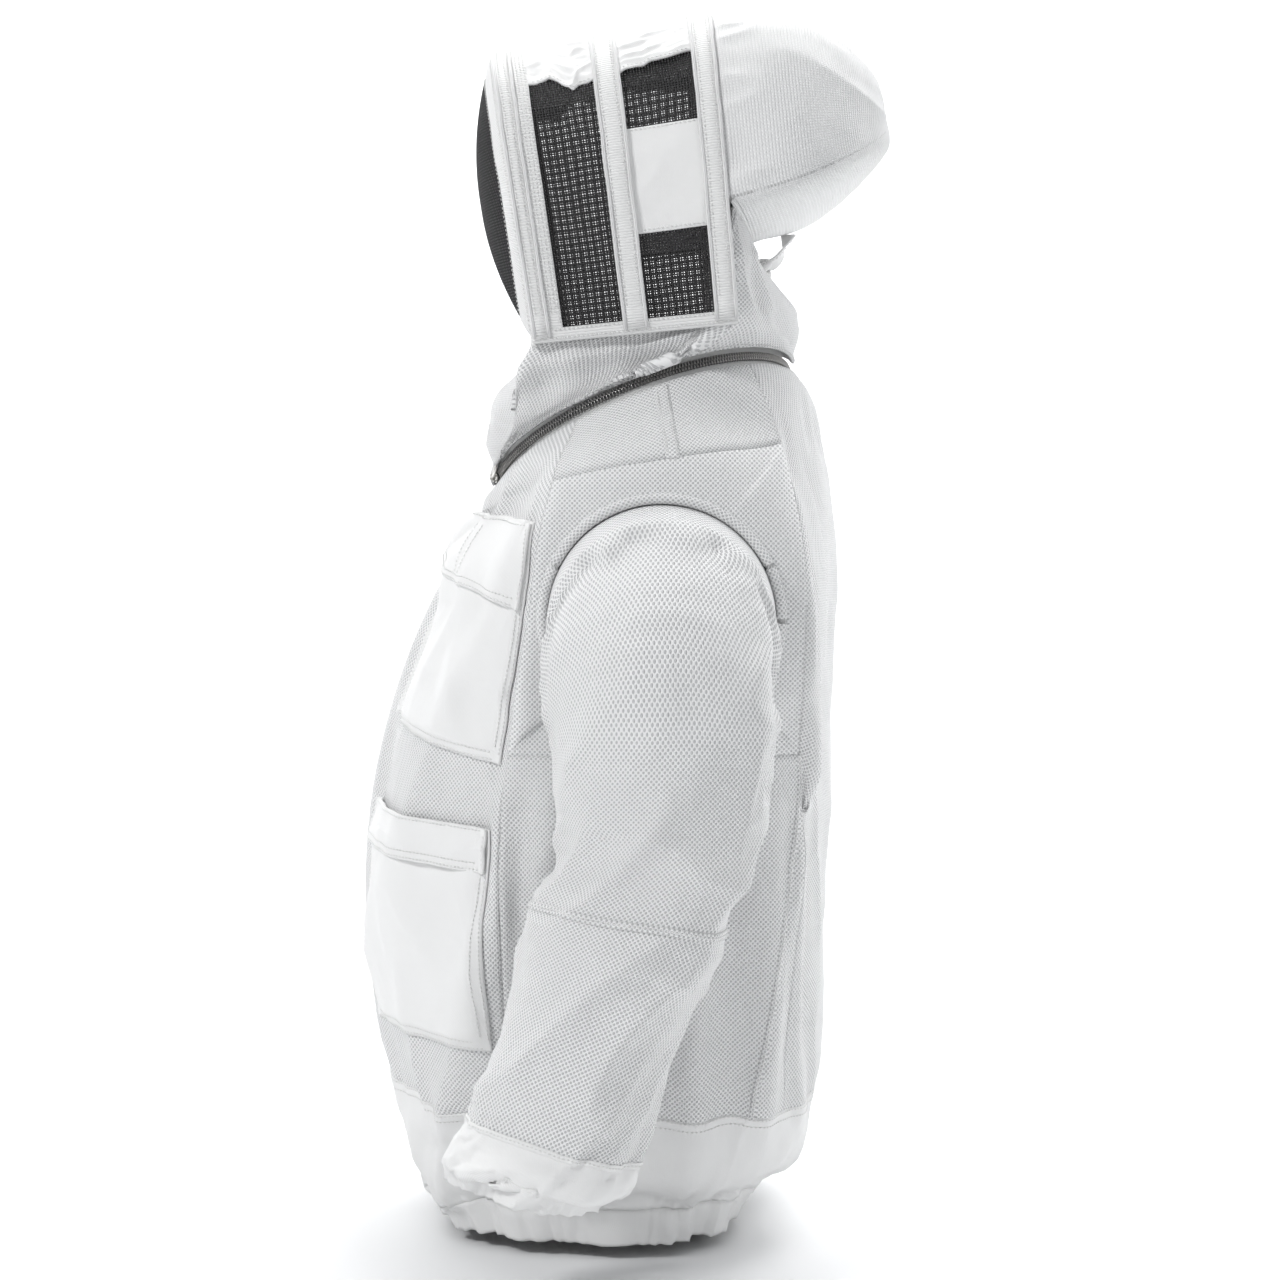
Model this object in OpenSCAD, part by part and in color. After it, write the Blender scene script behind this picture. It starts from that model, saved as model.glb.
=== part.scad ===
// Ventilated waist-length beekeeping jacket with a zip-on fencing-veil hood.
// Origin between the shoulders at the base of the neck, +Z up, front faces -Y, wearer's left is +X.

/* [Torso] */
// Half the torso width, side to side
torso_half_w = 190; // [180:1:192]
// Thickness of the three-layer mesh
mesh_t = 5; // [3:0.5:6]
// Thickness of the cotton cloth
cotton_t = 2.5; // [1.5:0.5:3]
// Half the width of the open gap that the front zip fills
zip_gap = 7; // [6:0.5:9]
// Height of the hem edge below the origin
hem_z = -616; // [-640:1:-605]

/* [Collar zip] */
// Radius of each half of the collar zip
neck_r = 126; // [120:1:130]
// Rise of the collar zip from front to back, degrees
neck_pitch = 22; // [18:1:26]
// Rise of the collar zip towards each shoulder, degrees
neck_roll = 16; // [12:1:20]
// Width of each zip tape
tape_w = 12; // [10:1:14]

/* [Front zip] */
// Radius of the curve that the front zip follows down the chest and belly
front_r = 515; // [500:1:540]
// Y of the centre of that curve
front_cy = 296; // [290:1:302]
// Z of the centre of that curve
front_cz = -365; // [-375:1:-355]

/* [Sleeves] */
// Radius of the armhole
armhole_r = 84; // [78:1:88]
// Height of the armhole's centre
armhole_z = -142; // [-150:1:-136]
// Y of the armhole's centre
armhole_y = 16; // [8:1:24]

/* [Hood] */
// Half the width of the veil tunnel
veil_half_w = 125; // [115:1:130]
// How far the face veil bows forward
face_bow = 28; // [10:1:36]
// How far the crown reaches behind the rear hoop
crown_reach = 132; // [110:1:140]

/* [Hidden] */

// ---------- grids of points and the shells between them ----------

function mix(a, b, t) = a * (1 - t) + b * t;
function unit(v) = v / max(norm(v), 1e-9);
function flip(p) = [-p.x, p.y, p.z];
function power(v, e) = sign(v) * pow(abs(v), e);

// Column j of a row, wrapped round when the row is a closed ring
function at(row, j, ring) = ring ? row[(j + len(row)) % len(row)] : row[min(max(j, 0), len(row) - 1)];

// Unit normal of grid g at row i, column j
function grid_normal(g, i, j, ring) =
    let(along = at(g[i], j + 1, ring) - at(g[i], j - 1, ring),
        down = g[min(i + 1, len(g) - 1)][j] - g[max(i - 1, 0)][j])
    unit(cross(down, along));

// Grid g moved by d along its normals
function raised(g, d, ring = false) =
    [for (i = [0:len(g) - 1]) [for (j = [0:len(g[i]) - 1]) g[i][j] + d * grid_normal(g, i, j, ring)]];

function part_of(g, i0, i1, j0, j1) = [for (i = [i0:i1]) [for (j = [j0:j1]) g[i][j]]];
function flat_list(g) = [for (row = g) each row];

// Closed solid between two equal grids; ring joins the last column to the first,
// cap closes the last row to a disc
module shell(outer, inner, ring = false, cap = false) {
    rows = len(outer);
    cols = len(outer[0]);
    spans = ring ? cols - 1 : cols - 2;
    n = rows * cols;
    function id(i, j) = i * cols + j % cols;
    skin = [for (i = [0:rows - 2], j = [0:spans]) each
        [[id(i, j), id(i, j + 1), id(i + 1, j + 1)], [id(i, j), id(i + 1, j + 1), id(i + 1, j)]]];
    back = [for (f = skin) [n + f[2], n + f[1], n + f[0]]];
    rims = [for (j = [0:spans]) each concat(
        [[id(0, j), n + id(0, j), n + id(0, j + 1)], [id(0, j), n + id(0, j + 1), id(0, j + 1)]],
        cap ? [] : [[id(rows - 1, j), n + id(rows - 1, j + 1), n + id(rows - 1, j)],
            [id(rows - 1, j), id(rows - 1, j + 1), n + id(rows - 1, j + 1)]])];
    sides = ring ? [] : [for (i = [0:rows - 2]) each
        [[id(i, 0), n + id(i + 1, 0), n + id(i, 0)], [id(i, 0), id(i + 1, 0), n + id(i + 1, 0)],
        [id(i, cols - 1), n + id(i, cols - 1), n + id(i + 1, cols - 1)],
        [id(i, cols - 1), n + id(i + 1, cols - 1), id(i + 1, cols - 1)]]];
    apex = floor(cols / 2);
    tips = cap ? [for (j = [0:cols - 1]) if (j != apex && (j + 1) % cols != apex) each
        [[id(rows - 1, apex), id(rows - 1, j), id(rows - 1, j + 1)],
        [n + id(rows - 1, apex), n + id(rows - 1, j + 1), n + id(rows - 1, j)]]] : [];
    polyhedron(concat(flat_list(outer), flat_list(inner)), concat(skin, back, rims, sides, tips), convexity = 6);
}

// ---------- torso surface ----------

// Heights of the control rings with their half width and back Y
ring_half_w = [[-616, 150], [-590, 156], [-545, 176], [-508, 189], [-440, 190], [-100, 190], [0, 186]];
ring_back_y = [[-616, 78], [-590, 92], [-545, 128], [-508, 148], [-456, 152], [-376, 156], [-232, 159],
    [-168, 163], [-104, 164], [-48, 156]];
// Y where the torso is widest, and squareness of its rings
torso_mid_y = -10;
torso_power = 0.8;
// Below this height the torso is made of level rings
blend_z = -130;

function front_y(z) = front_cy - sqrt(front_r * front_r - pow(z - front_cz, 2));

// a is 0 at the front centre and 180 at the back centre
function ring_point(a, z) =
    let(half_w = lookup(z, ring_half_w) * torso_half_w / 190,
        reach = cos(a) > 0 ? torso_mid_y - front_y(z) : lookup(z, ring_back_y) - torso_mid_y)
    [zip_gap * (1 + cos(a)) / 2 + half_w * power(sin(a), torso_power),
        torso_mid_y - reach * power(cos(a), torso_power), z];

// Frame of the left half of the collar zip: a half circle from the front centre to the back centre
neck_c = [0, 4, -1];
function neck_turn(p) =
    let(x = p.x * cos(neck_roll) - p.z * sin(neck_roll), z = p.x * sin(neck_roll) + p.z * cos(neck_roll))
    neck_c + [x, p.y * cos(neck_pitch) - z * sin(neck_pitch), p.y * sin(neck_pitch) + z * cos(neck_pitch)];
module neck_frame() {
    translate(neck_c)
        rotate([neck_pitch, 0, 0])
            rotate([0, -neck_roll, 0]) children();
}
// Angle along the zip at which the front gap starts
neck_start = asin(zip_gap / (neck_r * cos(neck_roll)));
function neck_angle(a) = mix(neck_start, 180, a / 180);
function neck_point(a, r, h) = neck_turn([r * sin(neck_angle(a)), -r * cos(neck_angle(a)), h]);

// Shoulder and chest between the collar tape and the first level ring
function blend_point(a, t) =
    let(p0 = neck_point(a, neck_r, -tape_w - 1.5),
        p1 = ring_point(a, blend_z),
        out = unit([p1.x - p0.x, p1.y - p0.y, 0] + [0.001, 0, 0]),
        span = norm(p1 - p0),
        m0 = (out * 0.55 + [0, 0, -0.55]) * span,
        m1 = [0, 0, -1] * span,
        q = (2 * pow(t, 3) - 3 * t * t + 1) * p0 + (pow(t, 3) - 2 * t * t + t) * m0
            + (3 * t * t - 2 * pow(t, 3)) * p1 + (pow(t, 3) - t * t) * m1)
    a == 0 ? [zip_gap, front_y(q.z), q.z] : q;

// Blend parameter at which the surface passes height z
function blend_at(a, z, lo = 0, hi = 1, n = 14) =
    n == 0 ? (lo + hi) / 2
    : let(m = (lo + hi) / 2) blend_point(a, m).z > z ? blend_at(a, z, m, hi, n - 1) : blend_at(a, z, lo, m, n - 1);
function torso_point(a, z) = z < blend_z ? ring_point(a, z) : blend_point(a, blend_at(a, z));

half_cols = 32;
blend_rows = 5;
ring_zs = [-130, -160, -190, -218, -244, -268, -290, -318, -350, -385, -425, -462, -486, -508,
    -526, -546, -568, -590, -603, hem_z];
row_arm_top = 2;
row_arm_base = 9;
row_waist = 18;
row_elastic = 22;
row_hem = 24;
col_arm_front = 12;
col_arm_back = 24;

torso = [for (i = [0:blend_rows + len(ring_zs) - 1]) [for (j = [0:half_cols])
    let(a = 180 * j / half_cols)
    i < blend_rows ? blend_point(a, i / blend_rows) : ring_point(a, ring_zs[i - blend_rows])]];

// Inner face: normals at the back centre lie in the middle plane, those at the zip have no X
function torso_normal(i, j) =
    let(n = grid_normal(torso, i, j, false)) (j == 0 || j == half_cols) ? unit([0, n.y, n.z]) : n;
function torso_under(d) = [for (i = [0:len(torso) - 1]) [for (j = [0:half_cols])
    torso[i][j] - d * torso_normal(i, j)]];
torso_mesh = torso_under(mesh_t);
torso_cotton = torso_under(cotton_t);

module torso_patch(inner, i0, i1, j0, j1) {
    shell(part_of(torso, i0, i1, j0, j1), part_of(inner, i0, i1, j0, j1));
}
// Columns j0 to the back centre and on to the same column of the right half
function both_halves(g, i0, i1, j0) = [for (i = [i0:i1])
    concat([for (j = [j0:half_cols]) g[i][j]], [for (j = [half_cols - 1:-1:j0]) flip(g[i][j])])];
module across_back(inner, i0, i1, j0) {
    shell(both_halves(torso, i0, i1, j0), both_halves(inner, i0, i1, j0));
}

module back_panel() {
    color("white") across_back(torso_mesh, 0, row_waist, col_arm_back);
}
module front_panel() {
    color("white") torso_patch(torso_mesh, 0, row_waist, 0, col_arm_front);
}
module side_panel() {
    color("white") torso_patch(torso_mesh, row_arm_base, row_waist, col_arm_front, col_arm_back);
}
module shoulder_panel() {
    color("white") torso_patch(torso_mesh, 0, row_arm_top, col_arm_front, col_arm_back);
}
module waistband() {
    color("snow") across_back(torso_cotton, row_waist, row_elastic, 0);
}
module hem_elastic() {
    color("snow") across_back(torso_cotton, row_elastic, row_hem, 0);
}

// ---------- armholes ----------

armhole_x = 194;
binding_w = 6;

// Loop of grid points round the arm opening, clockwise seen from the wearer's left
function arm_loop(g) = concat(
    [for (j = [col_arm_front:col_arm_back - 1]) g[row_arm_top][j]],
    [for (i = [row_arm_top:row_arm_base - 1]) g[i][col_arm_back]],
    [for (j = [col_arm_back:-1:col_arm_front + 1]) g[row_arm_base][j]],
    [for (i = [row_arm_base:-1:row_arm_top + 1]) g[i][col_arm_front]]);

function arm_circle(loop, r, x) = [for (p = loop)
    let(a = atan2(p.z - armhole_z, p.y - armhole_y))
    [x, armhole_y + r * cos(a), armhole_z + r * sin(a)]];

function loop_mix(a, b, t) = [for (k = [0:len(a) - 1]) mix(a[k], b[k], t)];
module armhole_panel() {
    outer = arm_loop(torso);
    inner = arm_loop(torso_mesh);
    rim_r = armhole_r + binding_w + 1.2;
    outer_rim = arm_circle(outer, rim_r + mesh_t, armhole_x);
    inner_rim = arm_circle(outer, rim_r, armhole_x - mesh_t);
    color("white") shell([for (t = [0, 0.5, 1]) loop_mix(outer, outer_rim, t)],
        [for (t = [0, 0.5, 1]) loop_mix(inner, inner_rim, t)], ring = true);
}

module armhole_binding() {
    color("snow") translate([armhole_x - mesh_t, armhole_y, armhole_z])
        rotate([0, 90, 0])
            rotate_extrude($fn = 64) translate([armhole_r, 0]) square([binding_w, mesh_t + 1.5]);
}

// ---------- front zip ----------

tape_t = 1.2;
chain_w = 3;
chain_t = 4;
chain_gap = 1.4;
// Angles of the zip's ends about the centre of its curve
front_top_angle = asin((torso[0][0].z - front_cz - 1) / front_r);
front_hem_angle = asin((hem_z - front_cz + 1) / front_r);

// Extrudes a section drawn as (radius, X) along the zip's curve between two angles
module along_front_zip(from_a, to_a) {
    translate([0, front_cy, front_cz])
        rotate([90, 0, -90])
            rotate([0, 0, from_a])
                rotate_extrude(angle = to_a - from_a, $fn = 180) children();
}
module both_sides() {
    children();
    mirror([1, 0, 0]) children();
}

module front_zip_tapes() {
    inner_x = chain_gap / 2 + chain_w;
    color("white") both_sides() along_front_zip(front_hem_angle, front_top_angle)
        translate([front_r - 2.6, inner_x]) square([tape_t, zip_gap - inner_x - 0.1]);
}
module front_zip_teeth() {
    color("silver") both_sides() along_front_zip(front_hem_angle, front_top_angle)
        translate([front_r - 4, chain_gap / 2]) square([chain_t, chain_w - 0.02]);
}

// Zip slider lying on a chain: outer plate, divider between the rows, inner plate, and a
// bridge across the chain that holds the pull's pin.
// Local frame: X across the chain, Y outwards from the cloth, Z along the chain.
slider_l = 11;
slider_w = 9;
plate_t = 1.6;
divider_t = 0.6;
slider_clear = 0.7;
half_slot = chain_t / 2 + slider_clear;
// Height of the pull's pin above the middle of the chain
pin_h = half_slot + plate_t + 2.4;
pin_d = 1.4;
module slider_body() {
    color("silver") {
        for (y = [half_slot, -half_slot - plate_t])
            translate([-slider_w / 2, y, -slider_l / 2]) cube([slider_w, plate_t, slider_l]);
        translate([-divider_t / 2, -half_slot, -slider_l / 2]) cube([divider_t, 2 * half_slot, slider_l]);
        for (x = [-3.4, 2.2])
            translate([x, half_slot + plate_t, -1]) cube([1.2, 3, 2]);
        translate([-3.4, pin_h, 0]) rotate([0, 90, 0]) cylinder(h = 6.8, d = pin_d, $fn = 24);
    }
}
// Pull tab on a pin along X: ring round the pin and a blade that hangs down -Z
pull_l = 26;
module pull_tab() {
    color("silver") difference() {
        union() {
            rotate([0, 90, 0]) cylinder(h = 3.6, d = 4.4, center = true, $fn = 32);
            translate([-2.2, -0.7, -pull_l]) cube([4.4, 1.4, pull_l - 1.6]);
        }
        rotate([0, 90, 0]) cylinder(h = 8, d = 2, center = true, $fn = 32);
        translate([0, 0, -pull_l + 4.5]) rotate([90, 0, 0]) cylinder(h = 6, d = 2, center = true, $fn = 24);
    }
}
front_slider_angle = front_top_angle - 2;
module at_front_slider() {
    translate([0, front_cy, front_cz])
        rotate([-front_slider_angle, 0, 0])
            translate([0, -front_r + chain_t / 2, 0])
                rotate([0, 0, 180]) children();
}
module front_zip_slider() {
    at_front_slider() slider_body();
}
module front_zip_pull() {
    at_front_slider() translate([0, pin_h, 0]) pull_tab();
}

// ---------- collar zip ----------

module collar_strip(r, t, h, w, from_a = 3.6, to_a = 179.6) {
    both_sides() neck_frame()
        rotate([0, 0, from_a - 90])
            rotate_extrude(angle = to_a - from_a, $fn = 128) translate([r, h]) square([t, w]);
}
row_h = chain_gap / 2;
collar_tape_w = tape_w - row_h - chain_w;
module collar_zip_lower_tapes() {
    color("white") collar_strip(neck_r - 2.6, tape_t, -tape_w, collar_tape_w);
}
module collar_zip_upper_tapes() {
    color("white") collar_strip(neck_r - 2.6, tape_t, row_h + chain_w, collar_tape_w);
}
module collar_zip_lower_teeth() {
    color("silver") collar_strip(neck_r - chain_t, chain_t, -row_h - chain_w, chain_w - 0.02);
}
module collar_zip_upper_teeth() {
    color("silver") collar_strip(neck_r - chain_t, chain_t, row_h + 0.02, chain_w - 0.02);
}

// Where the collar sliders rest, as an angle back from the front centre
collar_slider_angle = 16;
module at_collar_slider() {
    neck_frame()
        rotate([0, 0, collar_slider_angle])
            translate([0, -neck_r + chain_t / 2, 0])
                rotate([0, 0, 180]) rotate([0, 90, 0]) children();
}
module collar_slider() {
    at_collar_slider() slider_body();
}
module collar_pull() {
    at_collar_slider() translate([0, pin_h, 0]) pull_tab();
}

// ---------- pockets ----------

pocket_front_a = 8;
pocket_back_a = 64;
pocket_cols = 10;
flap_gap = 0.6;

// Normal of the torso surface at (a, z)
function surface_normal(a, z) =
    unit(cross(torso_point(a, z - 2) - torso_point(a, z + 2), torso_point(a + 1, z) - torso_point(a - 1, z)));
// Grid on the torso between the pocket's sides; top and base give heights at a fraction across
function pocket_grid(tops, bases, rows, d) = [for (i = [0:rows]) [for (j = [0:pocket_cols])
    let(f = j / pocket_cols, a = mix(pocket_front_a, pocket_back_a, f),
        z = mix(mix(tops[0], tops[1], f), mix(bases[0], bases[1], f), i / rows))
    torso_point(a, z) + d * surface_normal(a, z)]];

module pocket_piece(tops, bases, rows, low, thick) {
    shell(pocket_grid(tops, bases, rows, low + thick), pocket_grid(tops, bases, rows, low));
}
pocket_t = 2;
flap_t = 1.8;
flap_low = pocket_t + 1.2;
// Height of the chest pocket off the curved chest
chest_low = 1.8;
module chest_pocket() {
    color("snow") pocket_piece([-66, -72], [-222, -252], 8, chest_low, pocket_t);
}
module chest_pocket_flap() {
    color("snow") pocket_piece([-68, -74], [-104, -138], 3, chest_low + flap_low, flap_t);
}
module lower_pocket() {
    color("snow") pocket_piece([-290, -300], [-462, -466], 8, 0.5, pocket_t);
}
module lower_pocket_flap() {
    color("snow") pocket_piece([-290, -300], [-322, -334], 2, flap_low, flap_t);
}

// Loop for a hook, hanging inside the back of the collar
loop_r = 17;
module hanger_loop() {
    top = neck_turn([0, neck_r - 9, -tape_w]);
    color("snow") translate([0, top.y - 8, top.z - 2]) rotate([-90, 0, 0])
        rotate_extrude(angle = 180, $fn = 48) translate([loop_r, 0]) square([3, 6], center = true);
}

// ---------- sleeves ----------

sleeve_cols = 28;
fan_x = armhole_x + 4.3;
fan_z = armhole_z - armhole_r - 6;
fan_steps = 5;
fan_end = 84;

// A section is centre, half width front to back, half width side to side, and its two directions
function fan_section(a) =
    let(t = a / fan_end, e2 = [sin(a), 0, cos(a)])
    [[fan_x, armhole_y, fan_z] + e2 * mix(armhole_r + 6, 63, t), mix(armhole_r, 82, t), mix(armhole_r, 57, t),
        [0, 1, 0], e2];
function tube_section(x, y, z, r1, r2, tilt) =
    [[x, y, z], r1, r2, [0, cos(tilt), -sin(tilt)], [1, 0, 0]];
function section_row(s, inset) = [for (k = [0:sleeve_cols - 1])
    let(w = -360 * k / sleeve_cols) s[0] + (s[1] - inset) * cos(w) * s[3] + (s[2] - inset) * sin(w) * s[4]];

upper_sections = concat([for (i = [0:fan_steps]) fan_section(fan_end * i / fan_steps)],
    [tube_section(264, 15, -248, 79, 57, 0), tube_section(268, 13, -275, 73, 58, 0),
    tube_section(271, 10, -300, 68, 58, 1)]);
elbow_sections = [tube_section(271, 10, -300, 68, 58, 1), tube_section(275, 0, -332, 67, 58, 5),
    tube_section(280, -14, -368, 65, 58, 12)];
lower_sections = [tube_section(280, -14, -368, 65, 58, 12), tube_section(283, -27, -400, 64, 58, 17),
    tube_section(285, -42, -440, 63, 58, 20), tube_section(287, -54, -475, 61, 57, 18),
    tube_section(288, -62, -500, 60, 56, 14)];
cuff_sections = [tube_section(288, -62, -500, 60, 56, 14), tube_section(289, -70, -516, 63, 58, 12),
    tube_section(289, -76, -530, 58, 52, 10)];
elastic_sections = [tube_section(289, -76, -530, 58, 52, 10), tube_section(289, -80, -546, 53, 47, 10)];

module sleeve_tube(sections, t) {
    shell([for (s = sections) section_row(s, 0)], [for (s = sections) section_row(s, t)], ring = true);
}
module sleeve_upper() {
    color("white") sleeve_tube(upper_sections, mesh_t);
}
module sleeve_elbow() {
    color("white") sleeve_tube(elbow_sections, mesh_t);
}
module sleeve_lower() {
    color("white") sleeve_tube(lower_sections, mesh_t);
}
module cuff() {
    color("snow") sleeve_tube(cuff_sections, cotton_t);
}
module cuff_elastic() {
    color("snow") sleeve_tube(elastic_sections, cotton_t);
}

// ---------- hood ----------

veil_t = 2;
casing_t = 4;
tunnel_steps = 24;
tunnel_power = 0.72;
// Corners of the veil tunnel at the front and rear hoops, as Y at the base, Y at the top, base Z, top Z
hoop_f = [-80, -116, 66, 290];
hoop_r = [74, 54, 81, 322];
veil_station = [0, 0.12, 0.42, 0.56, 0.88, 1];

function tunnel_point(s, t, out = 0) =
    let(h = mix(hoop_f, hoop_r, s), z = power(sin(t), tunnel_power))
    [(veil_half_w + out) * power(cos(t), tunnel_power), mix(h[0], h[1], z), mix(h[2], h[3] + out, z)];
function tunnel_row(s, out = 0) = [for (k = [0:tunnel_steps]) tunnel_point(s, 180 * k / tunnel_steps, out)];

module tunnel_shell(s0, s1, steps, out, t, k0 = 0, k1 = tunnel_steps) {
    rows = [for (i = [0:steps]) mix(s0, s1, i / steps)];
    shell([for (s = rows) [for (k = [k0:k1]) tunnel_row(s, out)[k]]],
        [for (s = rows) [for (k = [k0:k1]) tunnel_row(s, out - t)[k]]]);
}
hoop_w = 0.07;
side_k = 8;
module hoop_front() {
    color("white") tunnel_shell(0, hoop_w, 1, casing_t / 2, casing_t);
}
module hoop_middle() {
    color("white") tunnel_shell(0.5, 0.5 + hoop_w * 1.6, 1, casing_t / 2, casing_t);
}
module hoop_rear() {
    color("white") tunnel_shell(1 - hoop_w * 1.6, 1, 1, casing_t / 2, casing_t);
}
module tunnel_between(k0, k1) {
    tunnel_shell(hoop_w, 0.5, 3, veil_t / 2, veil_t, k0, k1);
    tunnel_shell(0.5 + hoop_w * 1.6, 1 - hoop_w * 1.6, 3, veil_t / 2, veil_t, k0, k1);
}
module veil_sides() {
    color("dimgray") both_sides() tunnel_between(0, side_k);
}
module hood_top() {
    color("white") tunnel_between(side_k, tunnel_steps - side_k);
}

// Outline of the face opening: the front hoop and the straight edge below it, as one closed loop
base_steps = 8;
face_loop = concat(tunnel_row(0, casing_t / 2),
    [for (k = [1:base_steps - 1]) mix(tunnel_point(0, 180, casing_t / 2), tunnel_point(0, 0, casing_t / 2),
        k / base_steps)]);
face_c = [0, -98, 178];
function face_ring(r, back) = [for (p = face_loop) mix(face_c, p, r) - [0, face_bow * (1 - r * r) - back, 0]];
module face_annulus(rs, t, cap = false) {
    shell([for (r = rs) face_ring(r, -0.3)], [for (r = rs) face_ring(r, t - 0.3)], ring = true, cap = cap);
}
face_border = 0.84;
module face_frame() {
    color("white") face_annulus([1, 0.92, face_border], -veil_t);
}
module face_veil() {
    color("dimgray") face_annulus([face_border, 0.62, 0.4, 0.2], -veil_t, cap = true);
}

// Nape line: from the rear hoop's legs across the back, below the crown
nape_k = 2;
nape_steps = 8;
nape_mid = [0, 84, 146];
function nape_point(f) =
    let(p = tunnel_point(1, 180 * nape_k / tunnel_steps), a = 180 * f)
    [p.x * cos(a), mix(p.y, nape_mid.y, sin(a)), mix(p.z, nape_mid.z, sin(a))];

// Crown: a ball of fine mesh gathered onto the rear hoop
crown_loop = concat([for (k = [nape_k:tunnel_steps - nape_k]) tunnel_row(1, casing_t / 2)[k]],
    [for (k = [1:nape_steps - 1]) nape_point(1 - k / nape_steps)]);
crown_c = [0, 62, 240];
crown_ts = [0, 0.14, 0.3, 0.46, 0.62, 0.78, 0.92];
function crown_ring(t, inset) =
    let(swell = 1 + 0.16 * sin(180 * min(t * 1.5, 1)))
    [for (p = crown_loop) mix(crown_c, p, cos(90 * t) * swell * (1 - inset / 110))
        + [0, (crown_reach - inset) * sin(90 * t), 6 * sin(90 * t)]];
module crown() {
    color("white") shell([for (t = crown_ts) crown_ring(t, -1) + [for (p = crown_loop) [0, 0.4, 0]]],
        [for (t = crown_ts) crown_ring(t, 1.2) + [for (p = crown_loop) [0, 0.4, 0]]], ring = true, cap = true);
}

// Skirt: from the collar zip up to the veil's base and the nape line
skirt_cols = 24;
skirt_rows = 6;
face_base_end = 5;
tunnel_base_end = 13;
leg_end = 15;
// Half of the skirt's top edge, front centre to back centre
function skirt_top(j) =
    j <= face_base_end ? mix([0, -86, 57], [veil_half_w - 4, -80, 58], j / face_base_end)
    : j <= tunnel_base_end ? mix([veil_half_w - 4, -80, 58], [veil_half_w - 9, 74, 71],
        (j - face_base_end) / (tunnel_base_end - face_base_end))
    : j <= leg_end ? mix([veil_half_w - 9, 80, 75], nape_point(0) + [-8, 6, -3],
        (j - tunnel_base_end) / (leg_end - tunnel_base_end))
    : nape_point((j - leg_end) / (skirt_cols - leg_end) / 2) + [0, 3, -3];
function skirt_low(j) = neck_turn([neck_r * sin(180 * j / skirt_cols), -neck_r * cos(180 * j / skirt_cols),
    tape_w + 1.5]);
skirt_bulge = 22;
function skirt_point(i, j) =
    let(t = i / skirt_rows, p = mix(skirt_top(j), skirt_low(j), t), out = unit([p.x, p.y * 0.9, 0]),
        side = sin(180 * j / skirt_cols))
    p + out * skirt_bulge * sin(180 * t) * (1 - 0.95 * side * side);
skirt_half = [for (i = [0:skirt_rows]) [for (j = [0:skirt_cols]) skirt_point(i, j)]];
skirt_ring = [for (row = skirt_half) concat(row, [for (j = [skirt_cols - 1:-1:1]) flip(row[j])])];
module hood_skirt() {
    color("white") shell(skirt_ring, raised(skirt_ring, -mesh_t + 1, ring = true), ring = true);
}

// Tie tab at the nape
tab_w = 30;
tab_l = 34;
module neck_tab() {
    color("snow") translate([-tab_w / 2, nape_mid.y + 16, nape_mid.z - 12]) rotate([-16, 0, 0])
        cube([tab_w, tab_l, 2]);
}

// ---------- nodes ----------

module right() {
    mirror([1, 0, 0]) children();
}
back_panel();
front_panel();  // front_panel_left
right() front_panel();  // front_panel_right
side_panel();  // side_panel_left
right() side_panel();  // side_panel_right
armhole_panel();  // armhole_panel_left
right() armhole_panel();  // armhole_panel_right
shoulder_panel();  // shoulder_panel_left
right() shoulder_panel();  // shoulder_panel_right
armhole_binding();  // armhole_binding_left
right() armhole_binding();  // armhole_binding_right
waistband();
hem_elastic();
front_zip_tapes();
front_zip_teeth();
front_zip_slider();
front_zip_pull();
collar_zip_lower_tapes();
collar_zip_lower_teeth();
collar_zip_upper_tapes();
collar_zip_upper_teeth();
collar_slider();  // collar_slider_left
right() collar_slider();  // collar_slider_right
collar_pull();  // collar_pull_left
right() collar_pull();  // collar_pull_right
chest_pocket();
chest_pocket_flap();
lower_pocket();  // pocket_left
right() lower_pocket();  // pocket_right
lower_pocket_flap();  // pocket_flap_left
right() lower_pocket_flap();  // pocket_flap_right
hanger_loop();
sleeve_upper();  // sleeve_upper_left
sleeve_elbow();  // sleeve_elbow_left
sleeve_lower();  // sleeve_lower_left
cuff();  // cuff_left
cuff_elastic();  // cuff_elastic_left
right() sleeve_upper();  // sleeve_upper_right
right() sleeve_elbow();  // sleeve_elbow_right
right() sleeve_lower();  // sleeve_lower_right
right() cuff();  // cuff_right
right() cuff_elastic();  // cuff_elastic_right
hood_skirt();
veil_sides();
hood_top();
hoop_front();
hoop_middle();
hoop_rear();
face_frame();
face_veil();
crown();
neck_tab();
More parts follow.
